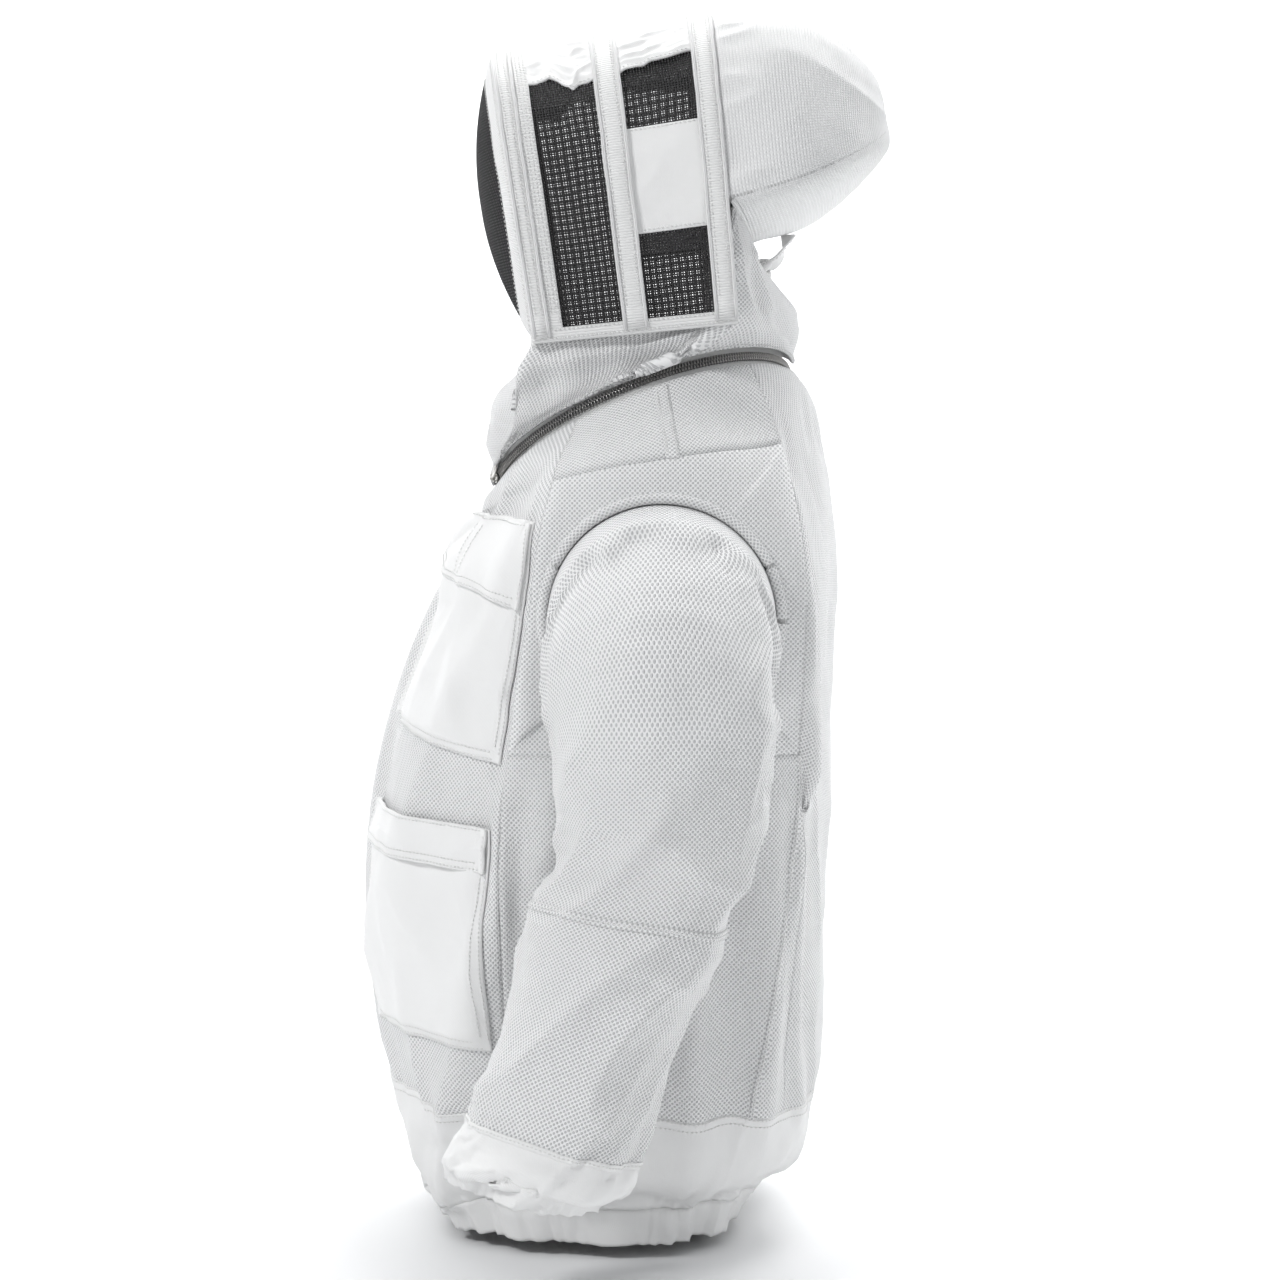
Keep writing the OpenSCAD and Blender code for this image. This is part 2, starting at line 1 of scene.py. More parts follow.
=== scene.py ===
import bpy
import math
import numpy as np
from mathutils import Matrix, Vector


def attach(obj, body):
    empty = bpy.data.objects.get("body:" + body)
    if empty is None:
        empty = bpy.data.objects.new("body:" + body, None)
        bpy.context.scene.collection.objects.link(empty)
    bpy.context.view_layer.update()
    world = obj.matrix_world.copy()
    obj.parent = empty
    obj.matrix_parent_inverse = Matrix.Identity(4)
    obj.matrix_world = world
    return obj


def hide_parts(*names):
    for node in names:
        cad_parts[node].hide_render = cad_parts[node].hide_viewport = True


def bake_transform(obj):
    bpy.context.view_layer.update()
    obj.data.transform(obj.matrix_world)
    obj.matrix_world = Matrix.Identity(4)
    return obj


# Ventilated beekeeping jacket with a fencing-veil hood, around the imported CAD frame.
# Shapes are worked out in millimetres, front -Y, wearer's left +X, and scaled to metres at the end.
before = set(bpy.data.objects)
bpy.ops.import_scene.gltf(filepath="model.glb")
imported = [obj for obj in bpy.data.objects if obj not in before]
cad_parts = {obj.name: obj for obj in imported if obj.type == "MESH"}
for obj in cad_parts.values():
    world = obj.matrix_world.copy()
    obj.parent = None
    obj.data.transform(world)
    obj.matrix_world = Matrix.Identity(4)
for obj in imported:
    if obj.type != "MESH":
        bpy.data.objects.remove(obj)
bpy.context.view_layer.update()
MM = 0.001


# ---------------------------------------------------------------- small maths

def mix(a, b, t):
    return a * (1 - t) + b * t


def smoothstep(x):
    x = np.clip(x, 0, 1)
    return x * x * (3 - 2 * x)


def power(v, e):
    return np.sign(v) * np.abs(v) ** e


def unit(v):
    return v / np.maximum(np.linalg.norm(v, axis=-1, keepdims=True), 1e-9)


def vec(x, y, z):
    x, y, z = np.broadcast_arrays(x, y, z)
    return np.stack([x, y, z], axis=-1).astype(float)


def hermite(p0, m0, p1, m1, t):
    """Cubic from p0, leaving along m0, to p1, arriving along m1."""
    return ((2 * t ** 3 - 3 * t ** 2 + 1) * p0 + (t ** 3 - 2 * t ** 2 + t) * m0
            + (3 * t ** 2 - 2 * t ** 3) * p1 + (t ** 3 - t ** 2) * m1)


def curve_through(xs, ys, x):
    """Smooth curve through points (xs rising), read at x; ys may be rows of vectors."""
    xs, ys = np.asarray(xs, float), np.asarray(ys, float)
    slope = np.gradient(ys, xs, axis=0)
    x = np.clip(np.asarray(x, float), xs[0], xs[-1])
    k = np.clip(np.searchsorted(xs, x, side="right") - 1, 0, len(xs) - 2)
    h = xs[k + 1] - xs[k]
    t = (x - xs[k]) / h
    if ys.ndim > 1:
        t, h = t[..., None], h[..., None]
    return hermite(ys[k], h * slope[k], ys[k + 1], h * slope[k + 1], t)


def noise(u, v, seed, wrap_u=0):
    """Smooth value noise in 0..1 over unit cells; wrap_u is a whole number of cells to repeat after."""
    table = np.random.default_rng(seed).random((64, 64))
    iu, iv = np.floor(u).astype(int), np.floor(v).astype(int)
    fu, fv = smoothstep(u - iu), smoothstep(v - iv)
    span = wrap_u or 64

    def cell(i, j):
        return table[(i % span) % 64, j % 64]
    low = mix(cell(iu, iv), cell(iu + 1, iv), fu)
    high = mix(cell(iu, iv + 1), cell(iu + 1, iv + 1), fu)
    return mix(low, high, fv)


def ridges(u, v, seed, wrap_u=0, sharp=1.6):
    """Crests like cloth folds, 0..1: the middle level of the noise is the crest."""
    return (1 - np.abs(2 * noise(u, v, seed, wrap_u) - 1)) ** sharp


# ---------------------------------------------------------------- grids of points

def grid_normals(P, ring=False):
    """Unit normals of a grid (rows, columns, 3); ring closes the columns."""
    if ring:
        along = np.roll(P, -1, axis=1) - np.roll(P, 1, axis=1)
    else:
        along = np.gradient(P, axis=1)
    down = np.gradient(P, axis=0)
    return unit(np.cross(down, along))


def sample(G, r, c):
    """Grid read at fractional rows and columns."""
    r = np.clip(r, 0, G.shape[0] - 1.0001)
    c = np.clip(c, 0, G.shape[1] - 1.0001)
    i, j = r.astype(int), c.astype(int)
    fr, fc = (r - i)[..., None], (c - j)[..., None]
    return mix(mix(G[i, j], G[i, j + 1], fc), mix(G[i + 1, j], G[i + 1, j + 1], fc), fr)


def metric_uv(P):
    """UV in metres: along every row from the middle column, and down by the mean length of the columns."""
    u = np.concatenate([np.zeros((P.shape[0], 1)), np.cumsum(steps(P, 1), axis=1)], axis=1)
    mid = u[:, P.shape[1] // 2][:, None]
    v = np.concatenate([[0], np.cumsum(steps(P).mean(axis=1))])[:, None]
    return np.stack([(u - mid), np.broadcast_to(-v, u.shape)], axis=-1) * MM


def flat_size(P):
    """Width and length in metres of the cloth that a grid was cut from."""
    return float(steps(P, 1).sum(axis=1).max()) * MM, float(steps(P).sum(axis=0).max()) * MM


def steps(P, axis=0):
    """Distance from each point of a path or grid to the next one."""
    return np.linalg.norm(np.diff(P, axis=axis), axis=-1)


def run_along(path):
    """Length along a path up to each of its points."""
    return np.concatenate([[0], np.cumsum(steps(path))])


def read_along(at, run, path):
    """Points of a path at the given lengths along it."""
    return np.stack([np.interp(at, run, path[:, k]) for k in range(3)], axis=-1)


def closed_round(P):
    """Grid of a ring with its first column added again at the end."""
    return np.concatenate([P, P[:, :1]], axis=1)


def mirrored(P):
    """Grid on the other side of the body, with its normals kept outwards."""
    return (P * [-1, 1, 1])[:, ::-1]


# ---------------------------------------------------------------- objects

def make_object(name, verts, faces, material, uv=None):
    """Mesh object from points in millimetres, faces as an array or list, and one UV per point."""
    mesh = bpy.data.meshes.new(name)
    mesh.from_pydata((np.asarray(verts) * MM).tolist(), [], [list(map(int, f)) for f in faces])
    mesh.materials.append(material)
    if uv is not None:
        loops = np.empty(len(mesh.loops), dtype=np.int32)
        mesh.loops.foreach_get("vertex_index", loops)
        layer = mesh.uv_layers.new(name="UVMap")
        layer.data.foreach_set("uv", np.asarray(uv)[loops].astype(np.float32).ravel())
    mesh.polygons.foreach_set("use_smooth", [True] * len(mesh.polygons))
    mesh.update()
    obj = bpy.data.objects.new(name, mesh)
    bpy.context.scene.collection.objects.link(obj)
    return obj


def quads(rows, cols, ring=False, start=0):
    i, j = np.meshgrid(np.arange(rows - 1), np.arange(cols if ring else cols - 1), indexing="ij")
    j2 = (j + 1) % cols
    ids = np.stack([i * cols + j, i * cols + j2, (i + 1) * cols + j2, (i + 1) * cols + j], axis=-1)
    return ids.reshape(-1, 4) + start


def cloth_piece(name, P, material, thick, lift=0.0, normals=None, uv=None, ring=False):
    """Closed sheet of cloth: its outer face is grid P raised by lift, its inner face thick below that."""
    N = grid_normals(P, ring) if normals is None else normals
    outer, inner = P + N * lift, P + N * (lift - thick)
    rows, cols = P.shape[:2]
    n = rows * cols
    top = quads(rows, cols, ring)
    under = quads(rows, cols, ring, n)[:, ::-1]
    rims = []
    edge = np.arange(cols if ring else cols - 1)
    nxt = (edge + 1) % cols
    rims.append(np.stack([edge, n + edge, n + nxt, nxt], axis=-1))
    last = (rows - 1) * cols
    rims.append(np.stack([last + nxt, n + last + nxt, n + last + edge, last + edge], axis=-1))
    if not ring:
        i = np.arange(rows - 1) * cols
        rims.append(np.stack([i + cols, n + i + cols, n + i, i], axis=-1))
        e = i + cols - 1
        rims.append(np.stack([e, n + e, n + e + cols, e + cols], axis=-1))
    uv = metric_uv(P) if uv is None else uv
    uv = uv.reshape(-1, 2)
    return make_object(name, np.concatenate([outer.reshape(-1, 3), inner.reshape(-1, 3)]),
                       np.concatenate([top, under] + rims), material, np.concatenate([uv, uv]))


def join_meshes(parts):
    """One list of points and faces from several."""
    verts, faces, start = [], [], 0
    for v, f in parts:
        verts.append(np.asarray(v, float))
        faces.extend([[int(i) + start for i in face] for face in f])
        start += len(v)
    return np.concatenate(verts), faces


def tube(path, radius, sides=8, closed=False, flat=1.0, normals=None):
    """Points and faces of a tube round a path; flat squashes it along the normals."""
    path = np.asarray(path, float)
    if closed:
        tangent = unit(np.roll(path, -1, axis=0) - np.roll(path, 1, axis=0))
    else:
        tangent = unit(np.gradient(path, axis=0))
    if normals is None:
        ref = np.where(np.abs(tangent[:, 2:3]) > 0.9, [[1.0, 0, 0]], [[0, 0, 1.0]])
        normals = unit(np.cross(tangent, ref))
    side = unit(np.cross(tangent, normals))
    up = unit(np.cross(side, tangent))
    ang = 2 * np.pi * np.arange(sides) / sides
    radius = np.broadcast_to(radius, (len(path),))[:, None, None]
    ringv = path[:, None] + radius * (np.cos(ang)[None, :, None] * side[:, None]
                                      + flat * np.sin(ang)[None, :, None] * up[:, None])
    n = len(path)
    faces = quads(n, sides, ring=True).tolist()
    if closed:
        faces += [[(n - 1) * sides + j, (n - 1) * sides + (j + 1) % sides, (j + 1) % sides, j]
                  for j in range(sides)]
    else:
        faces += [list(range(sides))[::-1], [(n - 1) * sides + j for j in range(sides)]]
    return ringv.reshape(-1, 3), faces


STITCH_PITCH = 3.4


def stitches(path, normals, length=2.4, width=0.5, pitch=STITCH_PITCH):
    """A row of raised thread stitches along a path, each a small bead with pointed ends."""
    path, normals = np.asarray(path, float), np.asarray(normals, float)
    run = run_along(path)
    at = np.arange(pitch, run[-1] - pitch, pitch)
    mid = read_along(at, run, path)
    ahead = read_along(at + 0.5, run, path)
    n = unit(read_along(at, run, normals))
    t = unit(ahead - mid)
    b = np.cross(n, t)
    shape = [(-1, 0, 0), (-0.5, 1, 0.5), (-0.5, -1, 0.5), (0.5, 1, 0.5), (0.5, -1, 0.5), (1, 0, 0),
             (-0.4, 0, 1.3), (0.4, 0, 1.3)]
    pts = [mid + t * (a * length / 2) + b * (w * width) + n * (h * width * 0.9) for a, w, h in shape]
    verts = np.stack(pts, axis=1).reshape(-1, 3)
    faces = np.array([[0, 2, 6], [0, 6, 1], [2, 4, 7], [2, 7, 6], [1, 6, 7], [1, 7, 3], [5, 3, 7], [5, 7, 4],
                      [0, 1, 3], [0, 3, 5], [0, 5, 4], [0, 4, 2]])
    k = np.arange(len(mid))[:, None, None] * len(shape)
    return verts, (faces[None] + k).reshape(-1, 3)


def edge_stitches(P, N, inset, edges="tblr", lift=0.4):
    """Stitch rows at a distance inside the edges of a grid: top, base, left and right."""
    rows, cols = P.shape[:2]
    dr, dc = inset / steps(P).mean(), inset / steps(P, 1).mean()
    c, r = np.arange(dc, cols - 1 - dc + 0.01, 0.5), np.arange(dr, rows - 1 - dr + 0.01, 0.5)
    lines = {"t": (np.full_like(c, dr), c), "b": (np.full_like(c, rows - 1 - dr), c),
             "l": (r, np.full_like(r, dc)), "r": (r, np.full_like(r, cols - 1 - dc))}
    out = []
    for e in edges:
        n = sample(N, *lines[e])
        out.append(stitches(sample(P, *lines[e]) + n * lift, n))
    return out


# ---------------------------------------------------------------- base surfaces, as in the CAD frame

NECK_R, NECK_PITCH, NECK_ROLL = 126.0, math.radians(22), math.radians(16)
NECK_C = np.array([0.0, 4.0, -1.0])
TAPE_W = 12.0
FRONT_R, FRONT_CY, FRONT_CZ = 515.0, 296.0, -365.0
ZIP_GAP = 7.0
HEM_Z = -616.0
MID_Y = -10.0
BLEND_Z = -130.0
RING_Z = [-130, -160, -190, -218, -244, -268, -290, -318, -350, -385, -425, -462, -486, -508,
          -526, -546, -568, -590, -603, HEM_Z]
HALF_W = [[-616, 150], [-590, 156], [-545, 176], [-508, 187], [-440, 190], [-100, 190], [0, 186]]
BACK_Y = [[-616, 78], [-590, 92], [-545, 128], [-508, 146], [-456, 152], [-376, 156], [-232, 159],
          [-168, 163], [-104, 164], [-48, 156]]
SUB = 5                      # fine columns and rows for each coarse one
AROUND, DOWN = 64, 24        # coarse columns right round from the front centre over the left, and coarse rows
COLS, ROWS = AROUND * SUB, DOWN * SUB
ARM_COLS = (18, 46)          # coarse columns in the middle of the left and the right armhole


def front_y(z):
    return FRONT_CY - np.sqrt(FRONT_R ** 2 - (z - FRONT_CZ) ** 2)


def by_height(table, z):
    t = np.array(table, float)
    return curve_through(t[:, 0], t[:, 1], z)


def ring_point(a, z):
    """Level ring of the torso; a in radians, 0 at the front centre and pi at the back."""
    reach = np.where(np.cos(a) > 0, MID_Y - front_y(z), by_height(BACK_Y, z) - MID_Y)
    x = ZIP_GAP * (1 + np.cos(a)) / 2 + by_height(HALF_W, z) * power(np.maximum(np.sin(a), 0), 0.8)
    return vec(x, MID_Y - reach * power(np.cos(a), 0.8), z)


def neck_turn(p):
    p = np.asarray(p, float)
    x = p[..., 0] * math.cos(NECK_ROLL) - p[..., 2] * math.sin(NECK_ROLL)
    z = p[..., 0] * math.sin(NECK_ROLL) + p[..., 2] * math.cos(NECK_ROLL)
    y, z = (p[..., 1] * math.cos(NECK_PITCH) - z * math.sin(NECK_PITCH),
            p[..., 1] * math.sin(NECK_PITCH) + z * math.cos(NECK_PITCH))
    return np.stack([x, y, z], axis=-1) + NECK_C


def neck_arc(b, r, h):
    """Point on the left half of the collar zip; b in radians from its front end."""
    return neck_turn(vec(r * np.sin(b), -r * np.cos(b), h))


def torso_half(a, r):
    """Left half of the torso at angle a and coarse row r, 0 at the collar tape and 24 at the hem."""
    start = math.asin(ZIP_GAP / (NECK_R * math.cos(NECK_ROLL)))
    b = mix(start, math.pi, a / math.pi)
    p0 = neck_arc(b, NECK_R, -TAPE_W - 1.5)
    p1 = ring_point(a, np.full_like(a, BLEND_Z))
    out = unit((p1 - p0) * [1, 1, 0] + [0.001, 0, 0])
    span = np.linalg.norm(p1 - p0, axis=-1, keepdims=True)
    m0, m1 = (out * 0.55 - [0, 0, 0.55]) * span, -span * [0, 0, 1]
    t = np.clip(r / 5, 0, 1)[..., None]
    blend = hermite(p0, m0, p1, m1, t)
    edge = smoothstep(1 - a / math.radians(26))[..., None]
    target = vec(blend[..., 0], front_y(blend[..., 2]), blend[..., 2])
    blend = mix(blend, target, edge)
    close = smoothstep(1 - a / math.radians(3))
    blend[..., 0] = mix(blend[..., 0], ZIP_GAP, close * (r < 5))
    z = curve_through(np.arange(len(RING_Z)), RING_Z, np.maximum(r - 5, 0))
    return np.where((r <= 5)[..., None], blend, ring_point(a, z))


def torso_grid():
    """Whole torso: rows from the collar to the hem, columns round from one edge of the zip to the other."""
    half = COLS // 2
    r, a = np.meshgrid(np.arange(ROWS + 1) / SUB, np.pi * np.arange(half + 1) / half, indexing="ij")
    left = torso_half(a, r)
    left[:, -1, 0] = 0
    right = left[:, -2::-1] * [-1, 1, 1]
    return np.concatenate([left, right], axis=1)


ARM_Y, ARM_Z, ARM_R, ARM_X = 16.0, -142.0, 84.0, 194.0
ARM_TOP, ARM_BASE, ARM_FRONT, ARM_BACK = 2 * SUB, 9 * SUB, 12 * SUB, 24 * SUB
WAIST, CASING = 18 * SUB, 22 * SUB


def arm_patch(G, rows=24):
    """Cloth between the torso panels and the armhole: it leaves the panels along their own slope and turns
    into the plane of the armhole's binding."""
    T, Q, L, R = ARM_TOP, ARM_BASE, ARM_FRONT, ARM_BACK
    sides = [(G[T, L:R], G[T - 2, L:R]), (G[T:Q, R], G[T:Q, R + 2]),
             (G[Q, R:L:-1], G[Q + 2, R:L:-1]), (G[Q:T:-1, L], G[Q:T:-1, L - 2])]
    loop = np.concatenate([side[0] for side in sides])
    slope = unit(np.concatenate([side[0] - side[1] for side in sides]))
    for _ in range(12):
        slope = unit(np.roll(slope, 1, axis=0) + 2 * slope + np.roll(slope, -1, axis=0))
    ang = np.arctan2(loop[:, 2] - ARM_Z, loop[:, 1] - ARM_Y)
    rim = vec(ARM_X, ARM_Y + (ARM_R + 6) * np.cos(ang), ARM_Z + (ARM_R + 6) * np.sin(ang))
    span = np.linalg.norm(rim - loop, axis=-1, keepdims=True)
    inward = vec(0.25, -np.cos(ang), -np.sin(ang))
    t = np.linspace(0, 1, rows)[:, None, None]
    return hermite(loop, slope * span, rim, inward * span, t)


# Sleeve sections: centre, half width front to back, half width side to side, tilt in degrees
TUBE = [[264, 15, -248, 79, 57, 0], [268, 13, -275, 73, 58, 0], [271, 10, -300, 68, 58, 1],
        [275, 0, -332, 67, 58, 5], [280, -14, -368, 65, 58, 12], [283, -27, -400, 64, 58, 17],
        [285, -42, -440, 63, 58, 20], [287, -54, -475, 61, 57, 18], [288, -62, -500, 60, 56, 14]]
CUFF = [[288, -62, -500, 60, 56, 14], [289, -70, -516, 63, 58, 12], [289, -76, -530, 58, 52, 10],
        [289, -80, -546, 53, 47, 10]]
FAN = 5
FAN_END = 84.0


def sleeve_sections():
    """Rows of (centre, r1, r2, e1, e2) from the shoulder cap to the cuff's end."""
    rows = []
    pivot = np.array([ARM_X + 4.3, ARM_Y, ARM_Z - ARM_R - 6])
    for i in range(FAN + 1):
        t = i / FAN
        a = math.radians(FAN_END * t)
        e2 = np.array([math.sin(a), 0, math.cos(a)])
        rows.append(np.concatenate([pivot + e2 * mix(ARM_R + 6, 63, t),
                                    [mix(ARM_R, 82, t), mix(ARM_R, 57, t)], [0, 1, 0], e2]))
    for x, y, z, r1, r2, tilt in TUBE + CUFF[1:]:
        a = math.radians(tilt)
        rows.append(np.array([x, y, z, r1, r2, 0, math.cos(a), -math.sin(a), 1, 0, 0]))
    return np.array(rows)


SLEEVE_STATIONS = FAN + 1 + len(TUBE) + len(CUFF) - 1
CUFF_STATION = FAN + len(TUBE)          # cuff seam
ELBOW_STATION = FAN + 4                 # elbow seam, level with the elbow's bend


def sleeve_grid(per=12, cols=144):
    """Left sleeve with its seam under the arm: rows from the shoulder to the wrist, columns right round."""
    s = np.linspace(0, SLEEVE_STATIONS - 1, (SLEEVE_STATIONS - 1) * per + 1)
    q = curve_through(np.arange(SLEEVE_STATIONS), sleeve_sections(), s)
    w = -2 * np.pi * np.arange(cols + 1) / cols - np.pi / 2
    e1, e2 = unit(q[:, 5:8]), unit(q[:, 8:11])
    return (q[:, None, :3] + q[:, 3, None, None] * np.cos(w)[None, :, None] * e1[:, None]
            + q[:, 4, None, None] * np.sin(w)[None, :, None] * e2[:, None])


# Hood
VEIL_W = 125.0
HOOP_F = np.array([-80.0, -116, 66, 290])
HOOP_R = np.array([74.0, 54, 81, 322])
TUNNEL_POWER = 0.72


def tunnel(s, t, out=0.0):
    """Veil tunnel: s from the front hoop (0) to the rear one (1), t from the left base (0) to the right (pi)."""
    s, t = np.broadcast_arrays(np.asarray(s, float), np.asarray(t, float))
    h = mix(HOOP_F, HOOP_R, s[..., None])
    z = power(np.sin(t), TUNNEL_POWER)
    return vec((VEIL_W + out) * power(np.cos(t), TUNNEL_POWER), mix(h[..., 0], h[..., 1], z),
               mix(h[..., 2], h[..., 3] + out, z))


def height_t(f):
    """Place round the tunnel's left side at fraction f of its height."""
    return math.asin(min(max(f, 0.0), 1.0) ** (1 / TUNNEL_POWER))


NAPE_T = math.pi * 2 / 24
NAPE_MID = np.array([0.0, 84, 146])


def nape(f):
    """Line across the back of the neck, f from the left (0) to the right (1)."""
    p = tunnel(1.0, NAPE_T)
    a = np.pi * np.asarray(f, float)
    return vec(p[0] * np.cos(a), mix(p[1], NAPE_MID[1], np.sin(a)), mix(p[2], NAPE_MID[2], np.sin(a)))


SKIRT_COLS = 24


def skirt_top(j):
    """Half of the skirt's top edge from the front centre to the back, j from 0 to SKIRT_COLS."""
    j = np.asarray(j, float)
    corner = tunnel(1.0, NAPE_T)
    keys = [(0, (0, -83, 65)), (5, (121, -80, 65)), (13, (119, 74, 78)),
            (15, (corner[0] - 3, corner[1] + 3, corner[2] - 2))]
    pts = np.array([k[1] for k in keys], float)
    pos = np.stack([np.interp(j, [k[0] for k in keys], pts[:, i]) for i in range(3)], axis=-1)
    back = nape((j - 15) / (SKIRT_COLS - 15) / 2) + [0, 3, -3]
    return np.where((j > 15)[..., None], back, pos)


def skirt_grid(rows=60, per=8):
    j = np.arange(SKIRT_COLS * per + 1) / per
    t = np.linspace(0, 1, rows)[:, None]
    low = neck_arc(np.pi * j / SKIRT_COLS, NECK_R + 3.2, 5.0)
    top = skirt_top(j)
    for _ in range(10):
        top[1:-1] = (top[:-2] + 2 * top[1:-1] + top[2:]) / 4
    p = mix(top[None], low[None], t[..., None])
    out = unit(p * [1, 0.9, 0])
    side = np.sin(np.pi * j / SKIRT_COLS)[None]
    p = p + out * (22 * np.sin(np.pi * t) * (1 - 0.75 * side ** 2))[..., None]
    p[:, 0, 0] = p[:, -1, 0] = 0
    return np.concatenate([p, p[:, -2:0:-1] * [-1, 1, 1], p[:, :1]], axis=1)


# ---------------------------------------------------------------- folds

def torso_folds(G):
    """Push of the torso's surface along its normals: soft folds, drag lines and the gathers above the hem."""
    rows, cols = G.shape[:2]
    r, c = np.meshgrid(np.arange(rows) / SUB, np.arange(cols) / SUB, indexing="ij")
    u, v = c / 4, r / 4
    d = 11 * (ridges(u * 0.9 + v * 0.35, v * 0.4, 11) - 0.5)
    d += 5.5 * (ridges(u * 1.7 - v * 0.5, v * 0.7, 12) - 0.5)
    d += 1.6 * (noise(u * 5, v * 5, 13) - 0.5)
    # blousing just above the waist seam, then gathers that sharpen towards the elastic
    waist = smoothstep((r - 14) / 4) * smoothstep((24 - r) / 6)
    d += 3.0 * waist
    gather = smoothstep((r - 17.5) / 4.5)
    drift = 0.5 * noise(u * 2, v * 3, 14)
    d += gather * (5.5 * ridges(c * 0.55 + drift, v * 0.35, 15) - 2.5)
    tight = smoothstep((r - 20.2) / 1.8)
    d += tight * 3.4 * (ridges(c * 1.55 + drift, v * 0.5, 16, sharp=1.0) - 0.5)
    # flat along the zip, at the collar and round the armholes
    keep = smoothstep(np.minimum(c, AROUND - c) / 2.5) * smoothstep(r / 2.5)
    for mid_c in ARM_COLS:
        dist = np.hypot((c - mid_c) / 6.6, (r - 5.6) / 4.0)
        keep = keep * smoothstep((dist - 0.95) / 0.5)
    return d * keep


def sleeve_folds(S, seed):
    """Push of a sleeve along its normals: rings of folds at the elbow and cuff, long soft drags between."""
    rows, cols = S.shape[:2]
    s, c = np.meshgrid((SLEEVE_STATIONS - 1) * np.arange(rows) / (rows - 1),
                       np.arange(cols) / (cols - 1), indexing="ij")
    w = 2 * np.pi * c
    loop = 8
    d = 7.5 * (ridges(c * loop + 0.35 * s, s * 0.36, seed, wrap_u=loop) - 0.5)
    elbow = np.exp(-((s - ELBOW_STATION) / 1.7) ** 2)
    d += elbow * 12 * (ridges(c * 4 - 0.5, s * 1.25 + 0.5 * np.sin(w), seed + 1, wrap_u=4) - 0.45)
    d += 1.5 * (noise(c * 24, s * 3, seed + 2, wrap_u=24) - 0.5)
    low = smoothstep((s - CUFF_STATION + 2.2) / 2.2)
    d += low * 4.5 * (ridges(c * 20 + 0.4 * s, s * 0.35, seed + 3, wrap_u=20) - 0.5)
    cuff = smoothstep((s - CUFF_STATION - 0.6) / 1.4)
    d += cuff * 3.2 * (ridges(c * 40, s * 0.4, seed + 4, wrap_u=40, sharp=1.0) - 0.5)
    return d * smoothstep(s / 1.6)


def skirt_folds(K):
    rows, cols = K.shape[:2]
    t, j = np.meshgrid(np.linspace(0, 1, rows), np.arange(cols) / (cols - 1), indexing="ij")
    loop = 10
    d = 9 * (ridges(j * loop + 1.2 * t, t * 1.6, 31, wrap_u=loop) - 0.45)
    d += 4 * (ridges(j * 2 * loop - 1.5 * t, t * 2.2, 32, wrap_u=2 * loop) - 0.5)
    return d * np.sin(np.pi * t) ** 0.7


def relax(P, ring=False, times=2):
    """Evens out a grid's points a little, ends and edges kept."""
    for _ in range(times):
        Q = P.copy()
        Q[1:-1] = (P[:-2] + 2 * P[1:-1] + P[2:]) / 4
        if ring:
            P = (np.roll(Q, 1, axis=1) + 2 * Q + np.roll(Q, -1, axis=1)) / 4
        else:
            P = Q.copy()
            P[:, 1:-1] = (Q[:, :-2] + 2 * Q[:, 1:-1] + Q[:, 2:]) / 4
    return P


def draped(P, pinned, grow, pressure, cap, ring=False, frames=22):
    """Cloth simulation of a sheet held at its pinned points (rows, columns mask): the cloth is cut larger than
    the form by grow, so it settles into folds of its own. Returns the settled grid, no point moved over cap."""
    rows, cols = P.shape[:2]
    body = P[:, :-1] if ring else P
    mask = pinned[:, :-1] if ring else pinned
    n_cols = body.shape[1]
    mesh = bpy.data.meshes.new("drape")
    mesh.from_pydata((body.reshape(-1, 3) * MM).tolist(), [], quads(rows, n_cols, ring).tolist())
    obj = bpy.data.objects.new("drape", mesh)
    scene = bpy.context.scene
    scene.collection.objects.link(obj)
    group = obj.vertex_groups.new(name="held")
    group.add(np.flatnonzero(mask.ravel()).tolist(), 1.0, "REPLACE")
    cloth = obj.modifiers.new("cloth", "CLOTH").settings
    cloth.vertex_group_mass = "held"
    cloth.quality = 5
    cloth.mass = 0.4
    cloth.tension_stiffness = cloth.compression_stiffness = 20
    cloth.shear_stiffness = 8
    cloth.bending_stiffness = 0.6
    cloth.shrink_min = -grow
    cloth.use_pressure = True
    cloth.uniform_pressure_force = pressure
    cloth.effector_weights.gravity = 0.35
    scene.frame_start, scene.frame_end = 1, frames
    for f in range(1, frames + 1):
        scene.frame_set(f)
    settled = obj.evaluated_get(bpy.context.evaluated_depsgraph_get()).to_mesh()
    co = np.empty(len(settled.vertices) * 3)
    settled.vertices.foreach_get("co", co)
    out = co.reshape(rows, n_cols, 3) / MM
    bpy.data.objects.remove(obj)
    scene.frame_set(1)
    move = out - body
    length = np.linalg.norm(move, axis=-1, keepdims=True)
    out = body + move * np.minimum(1, cap / np.maximum(length, 1e-6))
    return closed_round(out) if ring else out


# ---------------------------------------------------------------- materials

